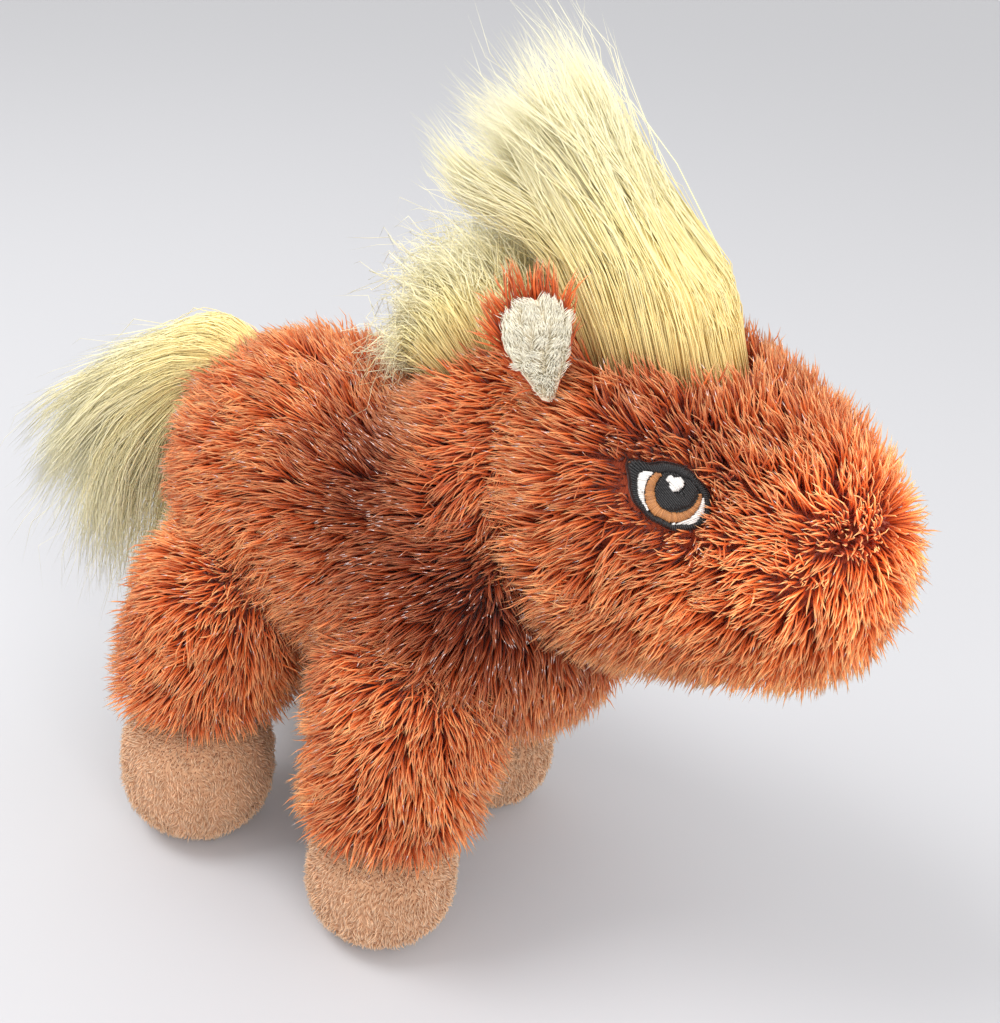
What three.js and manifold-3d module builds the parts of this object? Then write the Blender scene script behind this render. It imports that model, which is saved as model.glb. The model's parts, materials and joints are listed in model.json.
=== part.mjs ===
// Plush horse: shaggy fur covers over stuffing, soft hooves, embroidered eyes and tufts of long fibre.
// Millimetres. +Z is up, +X points to the nose, +Y to the horse's left. The ground is at zero height.
// Every cover is drawn out to the tips of its pile, so a cover's wall is its backing plus its pile.
import * as THREE from 'three';
import { ConvexGeometry } from 'three/addons/geometries/ConvexGeometry.js';
import { mergeVertices } from 'three/addons/utils/BufferGeometryUtils.js';
import Module from 'manifold-3d';

const wasm = await Module();
wasm.setup();

// Fabric walls and the gaps between pieces
const coverWall = 6.5;
const hoofWall = 2.6;
const seatGap = 0.3;
const turnGap = 0.4;

// Torso: two balls joined by a barrel. Lengths along the horse start at the rump's centre.
const rumpRadius = 40;
const rumpHeight = 105;
const barrelLength = 58;
const chestRadius = 42;
const chestHeight = 98;

// Neck, measured from the chest's centre
const neckReach = 15;
const neckRise = 32;
const neckRadius = 37;

// Head: a skull ball measured from the neck's centre, and a muzzle ball measured from the skull's
const skullReach = 29;
const skullRise = 5;
const skullRadius = 41;
const muzzleReach = 31;
const muzzleDrop = 3;
const muzzleRadius = 31;
const noseUpDegrees = 6;

// Legs: a hip ball inside the torso's side, narrowing to the shank's lower edge over the hoof
const hipSpread = 28.5;
const hipRadius = 26;
const hipTuck = 10;
const legSwingDegrees = 15;
const frontHip = { setback: 1, drop: 26 };
const hindHip = { setback: 7, drop: 31 };
const shankRadius = 22.5;
const hemRoll = 2.5;
const splay = 9.2;
const hindStride = 4;
const leftFrontStride = 9;
const leftFrontSplay = 1.5;

// Hooves: a bulb cut flat at the ground, with a neck that runs up inside the shank
const frontHoof = { radius: 21.2, height: 16, halfHeight: 18 };
const hindHoof = { radius: 22.8, height: 20, halfHeight: 22 };
const hoofShoulderPower = 3.4;
const hoofToePower = 2.2;
const hoofToHem = 0.5;
const hoofNeckLength = 5;
const hoofNeckEase = 1.1;
const hoofLift = 0.4;
const soleThickness = 2.4;
const soleInset = 1.6;

// Ears: flattened drops, each a fur back and a smooth lining
const earLength = 24;
const earTipRadius = 8.2;
const earRootRadius = 2.6;
const earFlatnessShare = 0.42;
const earSeat = { backDegrees: 31, outDegrees: 42 };
const earLean = { backDegrees: 17, outDegrees: 4 };
const earTurnDegrees = 50;
const earSink = 0.4;

// Eyes: embroidered patches on one flat, in a clearing of the pile
const eyeSeat = { backDegrees: -45, outDegrees: 54.7 };
const eyeThickness = 1.2;
const eyeDepth = 4.6;
const eyeClearing = 1;
const eyeOval = { across: -0.6, up: 0.1, halfLength: 9.6, halfHeight: 6.3, tiltDegrees: -14 };
const eyeOpening = { across: 0, up: -0.3, halfLength: 7.8, halfHeight: 5, tiltDegrees: -8 };
const irisDisc = { across: 0.5, up: 0.2, radius: 5.9 };
const pupilDisc = { across: 0.8, up: 1.1, radius: 4.3 };
const glintDisc = { across: 0.2, up: 2.5, radius: 1.35 };

// Tufts of long fibre: where each root sits on its ball, how its spine runs, and its widest section.
// Angles are from straight up, positive backwards. Spine points run back and up from the root.
const forelock = {
  seatDegrees: -6, stem: { back: 48, up: 48 }, tip: { back: 76, up: 30 }, halfWidth: 26, halfDepth: 14,
};
const mane = {
  seatDegrees: 46, stem: { back: 7, up: 9 }, tip: { back: 17, up: 18 }, halfWidth: 20, halfDepth: 9,
};
const tail = {
  seatDegrees: 44, stem: { back: 34, up: 6 }, tip: { back: 68, up: -76 }, halfWidth: 24, halfDepth: 14,
};
const tailLeanDegrees = 12;

// How far a tuft flops either way, and how much further than it comes up the forelock clears the mane
const flopDegrees = 25;
const flopShares = [-1, -0.5, 0, 0.5, 1];
const brushDegrees = 5;

// How wide and how deep each tuft is along its spine, from root to tip
const forelockWidthShares = [0.72, 0.84, 0.96, 1, 0.8, 0.42];
const maneWidthShares = [0.96, 1, 1, 0.95, 0.84, 0.6];
const tailWidthShares = [0.36, 0.5, 0.72, 0.94, 1, 0.5];
const forelockDepthShares = [0.6, 0.95, 1, 0.9, 0.7, 0.4];
const maneDepthShares = [0.45, 0.7, 0.9, 1, 0.9, 0.6];
const tailDepthShares = [0.5, 0.75, 0.95, 1, 0.9, 0.45];
const rootSink = 3;

// Binding tapes sewn under the covers, one below each tuft's root
const tapeWidth = 6;
const tapeThickness = 1.6;
const forelockTapeLength = 29;
const maneTapeLength = 28;
const tailTapeLength = 9;

// Facets round each form
const bodySides = 24;
const coreSides = 16;
const legSides = 16;
const legCoreSides = 12;
const sweepSides = 12;
const tuftSides = 12;
const eyeSides = 20;
const ballArcs = 5;
const hoofArcs = 7;

// Finishes
const fur = { color: 0xa0482a, roughness: 1, metalness: 0 };
const fibrefill = { color: 0xf2efe8, roughness: 1, metalness: 0 };
const hoofPile = { color: 0xb58d6a, roughness: 1, metalness: 0 };
const pellets = { color: 0xe8e6df, roughness: 0.6, metalness: 0 };
const lining = { color: 0xe9e2d6, roughness: 1, metalness: 0 };
const longFibre = { color: 0xefd690, roughness: 0.8, metalness: 0 };
const tape = { color: 0xd9cba6, roughness: 0.9, metalness: 0 };
const blackThread = { color: 0x15120f, roughness: 0.5, metalness: 0 };
const whiteThread = { color: 0xf4f0ea, roughness: 0.5, metalness: 0 };
const brownThread = { color: 0xb0763f, roughness: 0.5, metalness: 0 };

const FORWARD = new THREE.Vector3(1, 0, 0);
const SIDEWAYS = new THREE.Vector3(0, 1, 0);
const UP = new THREE.Vector3(0, 0, 1);
const LATHE_AXIS = new THREE.Vector3(0, 1, 0);
const RIGHT = -1;
const LEFT = 1;

const horse = new THREE.Group();

// Solids from geometries, and back again

function toSolid(geometry, matrix = new THREE.Matrix4()) {
  const bare = geometry.index ? geometry.toNonIndexed() : geometry.clone();
  bare.applyMatrix4(matrix);
  for (const name of Object.keys(bare.attributes)) {
    if (name !== 'position') bare.deleteAttribute(name);
  }
  const merged = mergeVertices(bare);
  const corners = merged.index.array;
  const position = merged.attributes.position;
  const [a, b, c] = [new THREE.Vector3(), new THREE.Vector3(), new THREE.Vector3()];
  const triangles = [];
  let volume = 0;
  for (let i = 0; i < corners.length; i += 3) {
    const [i0, i1, i2] = corners.slice(i, i + 3);
    if (i0 === i1 || i1 === i2 || i2 === i0) continue;
    triangles.push([i0, i1, i2]);
    a.fromBufferAttribute(position, i0);
    b.fromBufferAttribute(position, i1);
    c.fromBufferAttribute(position, i2);
    volume += a.dot(b.cross(c));
  }
  const outward = volume > 0 ? triangles : triangles.map((corner) => corner.reverse());
  return new wasm.Manifold(new wasm.Mesh({
    numProp: 3,
    vertProperties: new Float32Array(position.array),
    triVerts: new Uint32Array(outward.flat()),
  }));
}

function addPiece(name, solid, finish) {
  const { vertProperties, triVerts } = solid.getMesh();
  const geometry = new THREE.BufferGeometry();
  geometry.setAttribute('position', new THREE.BufferAttribute(vertProperties, 3));
  geometry.setIndex(new THREE.BufferAttribute(triVerts, 1));
  geometry.computeVertexNormals();
  const mesh = new THREE.Mesh(geometry, new THREE.MeshStandardMaterial(finish));
  mesh.name = name;
  horse.add(mesh);
}

function mirrored(solid) {
  const { vertProperties, triVerts } = solid.getMesh();
  const geometry = new THREE.BufferGeometry();
  geometry.setAttribute('position', new THREE.BufferAttribute(vertProperties, 3));
  geometry.setIndex(new THREE.BufferAttribute(triVerts, 1));
  return toSolid(geometry, new THREE.Matrix4().makeScale(1, -1, 1));
}

// A direction leaned back from straight up, then out to one side
function leaned({ backDegrees, outDegrees }, side) {
  const back = THREE.MathUtils.degToRad(backDegrees);
  const out = THREE.MathUtils.degToRad(outDegrees);
  return new THREE.Vector3(
    -Math.sin(back) * Math.cos(out), side * Math.sin(out), Math.cos(back) * Math.cos(out));
}

// Round forms

function makeBall(x, y, z, radius) {
  return { centre: new THREE.Vector3(x, y, z), radius };
}

// Two balls and the cone that touches both, each drawn in by one inset
function roundCone(first, second, inset, sides, matrix = new THREE.Matrix4()) {
  const r1 = first.radius - inset;
  const r2 = second.radius - inset;
  const axis = second.centre.clone().sub(first.centre);
  const length = axis.length();
  const lean = Math.asin((r1 - r2) / length);
  const profile = [];
  for (let i = 0; i <= ballArcs; i += 1) {
    const turn = -Math.PI / 2 + (lean + Math.PI / 2) * (i / ballArcs);
    profile.push(new THREE.Vector2(i ? r1 * Math.cos(turn) : 0, r1 * Math.sin(turn)));
  }
  for (let i = 0; i <= ballArcs; i += 1) {
    const turn = lean + (Math.PI / 2 - lean) * (i / ballArcs);
    profile.push(new THREE.Vector2(i < ballArcs ? r2 * Math.cos(turn) : 0, length + r2 * Math.sin(turn)));
  }
  const place = new THREE.Matrix4().compose(
    first.centre,
    new THREE.Quaternion().setFromUnitVectors(LATHE_AXIS, axis.normalize()),
    new THREE.Vector3(1, 1, 1),
  );
  return toSolid(new THREE.LatheGeometry(profile, sides), place.premultiply(matrix));
}

// A ball whose facets stay outside the radius it stands for, however its neighbour turns in it
function socketBall({ centre, radius }, gap, sides) {
  const outside = Math.cos(Math.PI / sides) ** 2;
  const geometry = new THREE.SphereGeometry((radius + gap) / outside, sides, sides / 2);
  return toSolid(geometry, new THREE.Matrix4().makeTranslation(centre));
}

function plainBall({ centre, radius }, sides) {
  return toSolid(
    new THREE.SphereGeometry(radius, sides, sides / 2), new THREE.Matrix4().makeTranslation(centre));
}

function turned(solid, axis, point, degrees) {
  const turn = new THREE.Matrix4().makeTranslation(point)
    .multiply(new THREE.Matrix4().makeRotationAxis(axis, THREE.MathUtils.degToRad(degrees)))
    .multiply(new THREE.Matrix4().makeTranslation(point.clone().negate()));
  return solid.transform(turn.elements);
}

// Keeps what lies past a plane through a point
function keepBeyond(solid, direction, point) {
  return solid.trimByPlane(direction.toArray(), direction.dot(point));
}

const rump = makeBall(0, 0, rumpHeight, rumpRadius);
const chest = makeBall(barrelLength, 0, chestHeight, chestRadius);
const neck = makeBall(barrelLength + neckReach, 0, chestHeight + neckRise, neckRadius);
const skull = makeBall(
  neck.centre.x + skullReach, 0, neck.centre.z + skullRise, skullRadius);
const muzzle = makeBall(
  skull.centre.x + muzzleReach, 0, skull.centre.z - muzzleDrop, muzzleRadius);

function torsoForm(inset, sides) {
  return roundCone(rump, chest, inset, sides).add(roundCone(chest, neck, inset, sides));
}

// Legs

// A bulb of superellipse arcs, square at the shoulder and round at the toe
function hoofForm({ radius, height, halfHeight }, foot, inset) {
  const profile = [];
  for (let i = 0; i <= hoofArcs; i += 1) {
    const turn = Math.PI * (i / hoofArcs - 1 / 2);
    const power = turn > 0 ? hoofShoulderPower : hoofToePower;
    const out = i % hoofArcs ? Math.cos(turn) ** (2 / power) : 0;
    const rise = Math.sign(turn) * Math.abs(Math.sin(turn)) ** (2 / power);
    profile.push(new THREE.Vector2((radius - inset) * out, height + (halfHeight - inset) * rise));
  }
  return toSolid(new THREE.LatheGeometry(profile, legSides), standing(foot));
}

// Turns a lathe or cylinder upright and sets its foot down
function standing(foot) {
  return new THREE.Matrix4().makeTranslation(foot).multiply(new THREE.Matrix4().makeRotationX(Math.PI / 2));
}

function upright(radius, low, high, foot) {
  const post = new THREE.CylinderGeometry(radius, radius, high - low, legSides);
  post.translate(0, (low + high) / 2, 0);
  return toSolid(post, standing(foot));
}

function legFrame({ side, hip, carrier, hoof, stride, splayed }) {
  const hipBall = makeBall(
    carrier.centre.x - hip.setback, side * hipSpread, carrier.centre.z - hip.drop, hipRadius);
  const foot = new THREE.Vector3(hipBall.centre.x - stride, side * (hipSpread + splayed), 0);
  const hemHeight = hoof.height + hoof.halfHeight + hoofToHem;
  const shank = makeBall(foot.x, foot.y, hemHeight + hemRoll, shankRadius);
  const inward = carrier.centre.clone().sub(hipBall.centre).normalize();
  return { hipBall, shank, foot, hoof, hemHeight, inward };
}

// The room that a leg needs in and under the torso: its ball, and all that its shank sweeps as it swings
function legSweep({ hipBall, shank }) {
  const outside = 1 / Math.cos(Math.PI / sweepSides);
  const axis = shank.centre.clone().sub(hipBall.centre);
  const [top, bottom] = [hipBall, shank].map(({ radius }) => (radius + turnGap) * outside);
  const room = new THREE.CylinderGeometry(bottom, top, axis.length(), sweepSides);
  room.translate(0, axis.length() / 2, 0);
  room.applyQuaternion(new THREE.Quaternion().setFromUnitVectors(LATHE_AXIS, axis.normalize()));
  const corner = room.attributes.position;
  const reach = [-legSwingDegrees, 0, legSwingDegrees].flatMap((degrees) => {
    const swing = new THREE.Matrix4().makeRotationY(THREE.MathUtils.degToRad(degrees));
    swing.setPosition(hipBall.centre);
    return Array.from({ length: corner.count }, (_, i) =>
      new THREE.Vector3().fromBufferAttribute(corner, i).applyMatrix4(swing));
  });
  return toSolid(new ConvexGeometry(reach)).add(socketBall(hipBall, turnGap, legSides));
}

function addLeg(name, frame) {
  const { hipBall, shank, foot, hoof, hemHeight, inward } = frame;
  const outward = inward.clone().negate();
  const mouth = hipBall.centre.clone().addScaledVector(inward, hipTuck);
  const plug = hipBall.centre.clone().addScaledVector(inward, hipTuck + seatGap);
  const neckTop = hemHeight + hoofNeckLength;
  const neckWidth = (shankRadius - coverWall) * Math.cos(Math.PI / legCoreSides) - hoofNeckEase;
  const edgeShare = 1 - (hoof.height / hoof.halfHeight) ** hoofToePower;
  const soleRadius = hoof.radius * edgeShare ** (1 / hoofToePower) - soleInset;
  const hem = new THREE.Vector3(0, 0, hemHeight);
  const coreFoot = new THREE.Vector3(0, 0, neckTop + seatGap);
  const floor = new THREE.Vector3(0, 0, hoofLift);
  const pelletFloor = new THREE.Vector3(0, 0, soleThickness + seatGap);

  const tube = roundCone(hipBall, shank, 0, legSides).subtract(
    roundCone(hipBall, shank, coverWall, legCoreSides));
  const cover = keepBeyond(keepBeyond(tube, outward, mouth), UP, hem);
  addPiece(`leg_cover_${name}`, cover, fur);

  const core = keepBeyond(roundCone(hipBall, shank, coverWall + seatGap, legCoreSides), UP, coreFoot);
  const hipPlug = keepBeyond(plainBall(hipBall, legSides), inward, plug);
  addPiece(`leg_stuffing_${name}`, core.add(hipPlug), fibrefill);

  const neckPost = upright(neckWidth, hoof.height, neckTop, foot);
  const neckBore = upright(neckWidth - hoofWall, hoof.height, neckTop + seatGap, foot);
  const cap = hoofForm(hoof, foot, 0).add(neckPost)
    .subtract(hoofForm(hoof, foot, hoofWall).add(neckBore))
    .subtract(upright(soleRadius + seatGap, 0, hoof.height, foot));
  addPiece(`hoof_cap_${name}`, keepBeyond(cap, UP, floor), hoofPile);
  addPiece(`hoof_sole_${name}`, upright(soleRadius, 0, soleThickness, foot), hoofPile);

  const filling = hoofForm(hoof, foot, hoofWall + seatGap)
    .add(upright(neckWidth - hoofWall - seatGap, hoof.height, neckTop, foot));
  addPiece(`hoof_pellets_${name}`, keepBeyond(filling, UP, pelletFloor), pellets);
}

const foreleg = { hip: frontHip, carrier: chest, hoof: frontHoof };
const hindleg = { hip: hindHip, carrier: rump, hoof: hindHoof };
const legs = {
  front_right: { ...foreleg, side: RIGHT, stride: 0, splayed: splay },
  front_left: { ...foreleg, side: LEFT, stride: leftFrontStride, splayed: leftFrontSplay },
  hind_right: { ...hindleg, side: RIGHT, stride: hindStride, splayed: splay },
  hind_left: { ...hindleg, side: LEFT, stride: hindStride, splayed: splay },
};

// Tufts: elliptic sections along a bent spine in the midline, then trimmed to the ball that they grow from

function tuftStem({ seatDegrees }) {
  return leaned({ backDegrees: seatDegrees, outDegrees: 0 }, LEFT);
}

function tuftSeat(ball, tuft, lift) {
  return ball.centre.clone().addScaledVector(tuftStem(tuft), ball.radius + lift);
}

// What a tuft's root must stay clear of as the tuft flops to and fro about an axis through its seat
function flopRoom(solid, axis, seat) {
  return flopShares.map((share) => turned(solid, axis, seat, share * flopDegrees))
    .reduce((all, one) => all.add(one));
}

function tuftForm(ball, tuft, widthShares, depthShares) {
  const seat = tuftSeat(ball, tuft, -rootSink);
  const along = ({ back, up }) => seat.clone().add(new THREE.Vector3(-back, 0, up));
  const spine = new THREE.QuadraticBezierCurve3(seat, along(tuft.stem), along(tuft.tip));
  const rings = widthShares.map((widthShare, i) => {
    const share = i / (widthShares.length - 1);
    const centre = spine.getPoint(share);
    const forward = spine.getTangent(share);
    const wide = SIDEWAYS.clone().cross(forward);
    return Array.from({ length: tuftSides }, (_, k) => {
      const turn = (2 * Math.PI * k) / tuftSides;
      return centre.clone()
        .addScaledVector(wide, Math.cos(turn) * tuft.halfWidth * widthShare)
        .addScaledVector(SIDEWAYS, Math.sin(turn) * tuft.halfDepth * depthShares[i]);
    });
  });
  const corners = [];
  for (let i = 0; i + 1 < rings.length; i += 1) {
    for (let k = 0; k < tuftSides; k += 1) {
      const next = (k + 1) % tuftSides;
      corners.push(rings[i][k], rings[i][next], rings[i + 1][k]);
      corners.push(rings[i][next], rings[i + 1][next], rings[i + 1][k]);
    }
  }
  const last = rings[rings.length - 1];
  for (let k = 0; k < tuftSides; k += 1) {
    const next = (k + 1) % tuftSides;
    corners.push(spine.getPoint(0), rings[0][next], rings[0][k]);
    corners.push(spine.getPoint(1), last[k], last[next]);
  }
  return toSolid(new THREE.BufferGeometry().setFromPoints(corners));
}

// A flat tape that lies just under a cover, along its tuft's root
function tapeGeometry(length, grow) {
  return new THREE.BoxGeometry(length + grow, tapeWidth + grow, tapeThickness + grow);
}

function tapePlace(ball, tuft, length) {
  const inner = ball.radius - coverWall - seatGap;
  const depth = Math.sqrt(inner ** 2 - (length / 2) ** 2 - (tapeWidth / 2) ** 2) - tapeThickness / 2;
  return new THREE.Matrix4().compose(
    ball.centre.clone().addScaledVector(tuftStem(tuft), depth - seatGap),
    new THREE.Quaternion().setFromUnitVectors(UP, tuftStem(tuft)),
    new THREE.Vector3(1, 1, 1),
  );
}

function addTape(name, ball, tuft, length) {
  const place = tapePlace(ball, tuft, length);
  addPiece(name, toSolid(tapeGeometry(length, 0), place), tape);
  return toSolid(tapeGeometry(length, 2 * seatGap), place);
}

// Torso

const legFrames = Object.fromEntries(Object.entries(legs).map(([name, leg]) => [name, legFrame(leg)]));
const torsoCuts = Object.values(legFrames).map(legSweep)
  .reduce((all, one) => all.add(one)).add(socketBall(skull, turnGap, bodySides));
const torsoTapes = addTape('mane_tape', neck, mane, maneTapeLength)
  .add(addTape('tail_tape', rump, tail, tailTapeLength));
const torsoShell = torsoForm(0, bodySides).subtract(torsoForm(coverWall, coreSides));
addPiece('body_cover', torsoShell.subtract(torsoCuts), fur);
addPiece(
  'body_stuffing',
  torsoForm(coverWall + seatGap, coreSides).subtract(torsoCuts).subtract(torsoTapes),
  fibrefill,
);

for (const [name, frame] of Object.entries(legFrames)) addLeg(name, frame);

// Tufts: each is cut clear of what it grows from, and the mane of the forelock as the nose comes up

const torsoSkin = torsoForm(-turnGap, bodySides);
const forelockSeat = tuftSeat(skull, forelock, 0);
const maneSeat = tuftSeat(neck, mane, 0);
const tailSeat = tuftSeat(rump, tail, 0);
const crest = tuftStem(mane).cross(SIDEWAYS);
const forelockForm = tuftForm(skull, forelock, forelockWidthShares, forelockDepthShares)
  .subtract(flopRoom(socketBall(skull, seatGap, bodySides), FORWARD, forelockSeat));
const forelockSweep = [0, 1 / 2, 1]
  .map((share) => turned(forelockForm, SIDEWAYS, skull.centre, -share * (noseUpDegrees + brushDegrees)))
  .reduce((all, one) => all.add(one));
const maneForm = tuftForm(neck, mane, maneWidthShares, maneDepthShares)
  .subtract(flopRoom(torsoSkin, crest, maneSeat))
  .subtract(forelockSweep);
const straightTail = tuftForm(rump, tail, tailWidthShares, tailDepthShares);
const tailForm = turned(straightTail, UP, tailSeat, tailLeanDegrees)
  .subtract(flopRoom(torsoSkin, tuftStem(tail), tailSeat));
addPiece('forelock', forelockForm, longFibre);
addPiece('mane', maneForm, longFibre);
addPiece('tail', tailForm, longFibre);

// Head

const neckMouth = neck.centre.clone().add(chest.centre).multiplyScalar(1 / 2).sub(skull.centre).normalize();
const neckHoleDepth = skullRadius * Math.cos(Math.asin(neckRadius / skullRadius / Math.SQRT2));
const headMouth = skull.centre.clone().addScaledVector(neckMouth, neckHoleDepth);
const headPlug = skull.centre.clone().addScaledVector(neckMouth, neckHoleDepth + seatGap);

// The plane that the eye's patches lie on, square to the skull
function eyePlace() {
  const normal = leaned(eyeSeat, RIGHT);
  const across = new THREE.Vector3(1, 0, 0).addScaledVector(normal, -normal.x).normalize();
  const place = new THREE.Matrix4().makeBasis(across, normal.clone().cross(across), normal);
  return place.setPosition(skull.centre.clone().addScaledVector(normal, skullRadius - eyeDepth));
}

// An oval of thread from one height above that plane to another, drawn out or in by a margin
function eyeOvalSolid({ across, up, halfLength, halfHeight, radius, tiltDegrees = 0 }, margin, low, high) {
  const disc = new THREE.CylinderGeometry(1, 1, high - low, eyeSides).rotateX(Math.PI / 2);
  disc.scale((halfLength ?? radius) + margin, (halfHeight ?? radius) + margin, 1);
  disc.rotateZ(THREE.MathUtils.degToRad(tiltDegrees)).translate(across, up, (low + high) / 2);
  return toSolid(disc);
}

function eyePatches() {
  const half = seatGap / 2;
  const patch = (oval) => eyeOvalSolid(oval, -half, 0, eyeThickness);
  const cutter = (oval, margin) => eyeOvalSolid(oval, margin, -eyeThickness, 2 * eyeThickness);
  const [rear, front] = patch(eyeOpening).subtract(cutter(irisDisc, half)).decompose()
    .sort((one, other) => one.boundingBox().min[0] - other.boundingBox().min[0]);
  const opening = cutter(eyeOpening, -half);
  return {
    outline: [patch(eyeOval).subtract(cutter(eyeOpening, half)), blackThread],
    white_rear: [rear, whiteThread],
    white_front: [front, whiteThread],
    iris: [patch(irisDisc).intersect(opening).subtract(cutter(pupilDisc, half)), brownThread],
    pupil: [patch(pupilDisc).intersect(opening).subtract(cutter(glintDisc, half)), blackThread],
    glint: [patch(glintDisc), whiteThread],
  };
}

const eyeWell = eyeOvalSolid(eyeOval, eyeClearing, -seatGap, skullRadius).transform(eyePlace().elements);
const headCuts = eyeWell.add(mirrored(eyeWell));
const headTapes = addTape('forelock_tape', skull, forelock, forelockTapeLength);
const headShell = roundCone(skull, muzzle, 0, bodySides)
  .subtract(roundCone(skull, muzzle, coverWall, coreSides));
const headCover = keepBeyond(headShell, neckMouth.clone().negate(), headMouth);
addPiece('head_cover', headCover.subtract(headCuts), fur);
addPiece(
  'head_stuffing',
  roundCone(skull, muzzle, coverWall + seatGap, coreSides)
    .add(keepBeyond(plainBall(skull, bodySides), neckMouth, headPlug))
    .subtract(headTapes),
  fibrefill,
);

for (const [patch, [solid, finish]] of Object.entries(eyePatches())) {
  const placed = solid.transform(eyePlace().elements);
  addPiece(`eye_${patch}_right`, placed, finish);
  addPiece(`eye_${patch}_left`, mirrored(placed), finish);
}

// Ears: a drop from a small root ball to a broad tip ball, flattened and split into back and lining

function earForms() {
  const stem = leaned(earLean, RIGHT);
  const turn = THREE.MathUtils.degToRad(earTurnDegrees);
  const facing = new THREE.Vector3(Math.cos(turn), -Math.sin(turn), 0);
  facing.addScaledVector(stem, -facing.dot(stem)).normalize();
  const root = skull.centre.clone()
    .addScaledVector(leaned(earSeat, RIGHT), skullRadius + seatGap + earRootRadius - earSink);
  const place = new THREE.Matrix4().makeBasis(facing, stem.clone().cross(facing), stem).setPosition(root);
  place.multiply(new THREE.Matrix4().makeScale(earFlatnessShare, 1, 1));
  const rootBall = makeBall(0, 0, 0, earRootRadius);
  const tipBall = makeBall(0, 0, earLength - earTipRadius - earRootRadius, earTipRadius);
  const drop = roundCone(rootBall, tipBall, 0, legCoreSides, place);
  const step = facing.clone().multiplyScalar(seatGap / 2);
  return {
    ear_lining: [keepBeyond(drop, facing, root.clone().add(step)), lining],
    ear_back: [keepBeyond(drop, facing.clone().negate(), root.clone().sub(step)), fur],
  };
}

for (const [name, [solid, finish]] of Object.entries(earForms())) {
  addPiece(`${name}_right`, solid, finish);
  addPiece(`${name}_left`, mirrored(solid), finish);
}

// The origin lies on the ground under the middle of the whole horse
const extent = new THREE.Box3().setFromObject(horse);
const middle = extent.getCenter(new THREE.Vector3());
horse.position.set(-middle.x, -middle.y, -extent.min.z);

const group = new THREE.Group();
group.add(horse);

export default group;
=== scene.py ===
"""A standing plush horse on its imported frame: shaggy coat, soft hooves, stitched eyes, tufts of long fibre.

Shapes are worked out in millimetres in the frame's axes, and become metres when a piece is made.
"""

import json
import logging
import math
from dataclasses import dataclass, field
from enum import Enum
from typing import Callable

import bpy
import numpy as np
from mathutils import Matrix


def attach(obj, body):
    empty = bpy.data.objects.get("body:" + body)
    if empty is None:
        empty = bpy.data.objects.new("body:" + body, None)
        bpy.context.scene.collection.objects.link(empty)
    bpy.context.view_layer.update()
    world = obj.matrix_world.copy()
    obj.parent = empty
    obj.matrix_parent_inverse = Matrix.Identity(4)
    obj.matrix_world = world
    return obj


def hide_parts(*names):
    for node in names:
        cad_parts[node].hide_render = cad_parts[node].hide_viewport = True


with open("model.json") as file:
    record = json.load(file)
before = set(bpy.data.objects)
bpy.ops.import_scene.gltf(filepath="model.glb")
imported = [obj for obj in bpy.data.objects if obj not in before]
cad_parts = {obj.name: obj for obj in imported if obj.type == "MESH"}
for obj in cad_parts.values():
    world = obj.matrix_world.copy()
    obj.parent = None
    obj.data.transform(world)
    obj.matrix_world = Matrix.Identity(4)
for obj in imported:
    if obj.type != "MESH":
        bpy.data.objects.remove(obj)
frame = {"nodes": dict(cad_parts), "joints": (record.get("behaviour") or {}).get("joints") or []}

LOG = logging.getLogger("plush_horse")
MM = 0.001
SEED = 20817

# A vector shorter than this counts as none
LEAST_LENGTH = 1e-9
# Rounds of halving that find a skin along a ray
HALVINGS = 24
# Cubes along each side of the lattice that places are sorted into, which has zero in its middle
LATTICE = 1024
# Places drawn for each square of the spacing, before one is kept in each cube
DRAWS = 6.0
# Waves that lump a filling's skin: each has a pitch, a bend, and the bend's own pitch
LUMP_WAVES = ((9, 4, 7), (8, 3, 9), (10, 4, 6))

Array = np.ndarray
# What takes many places and gives a row for each: a distance, a direction, a share or a test
OfPlaces = Callable[[Array], Array]
PIVOTS = {joint["name"]: np.array(joint["pos_m"]) / MM for joint in frame["joints"]}
UP = np.array([0.0, 0.0, 1.0])
SIDEWAYS = np.array([0.0, 1.0, 0.0])


class Side(Enum):
    """The horse's right and left, by the sign of Y."""

    RIGHT = -1
    LEFT = 1

    @property
    def label(self) -> str:
        """The side's word in a piece's name."""
        return self.name.lower()


class Lay(Enum):
    """How embroidery stitches are laid: in rows, or as a fan from the middle."""

    ROWS = "rows"
    FAN = "fan"


class Thread(Enum):
    """The embroidery threads, by their slots' names."""

    BLACK = "black_thread"
    WHITE = "white_thread"
    BROWN = "brown_thread"


class Chance(Enum):
    """Each kind of part's source of chance, so that one part's change leaves the others alone."""

    LOCKS = 0
    TORSO = 1
    HEAD = 2
    PELLETS = 7
    EYES = 10
    LEGS = 20
    HOOVES = 30
    TUFTS = 40
    EARS = 50

    def source(self, number: int = 0) -> np.random.Generator:
        """The source for one part, by its number among its kind."""
        return np.random.default_rng(SEED + self.value + number)


# Numbers and solids


def unit(vectors: Array) -> Array:
    """Vectors of length one along the given ones."""
    return vectors / np.maximum(np.linalg.norm(vectors, axis=-1, keepdims=True), LEAST_LENGTH)


def along_skin(vectors: Array, normals: Array) -> Array:
    """The vectors laid in the skin, each less its part along the normal, and made length one."""
    return unit(vectors - np.sum(vectors * normals, axis=-1, keepdims=True) * normals)


def smooth(values: Array, low: float, high: float) -> Array:
    """0 below low, 1 above high, and an S curve between: 3x2 less 2x3 of the share x of the way."""
    share = np.clip((values - low) / (high - low), 0.0, 1.0)
    return share * share * (3.0 - 2.0 * share)


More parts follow.
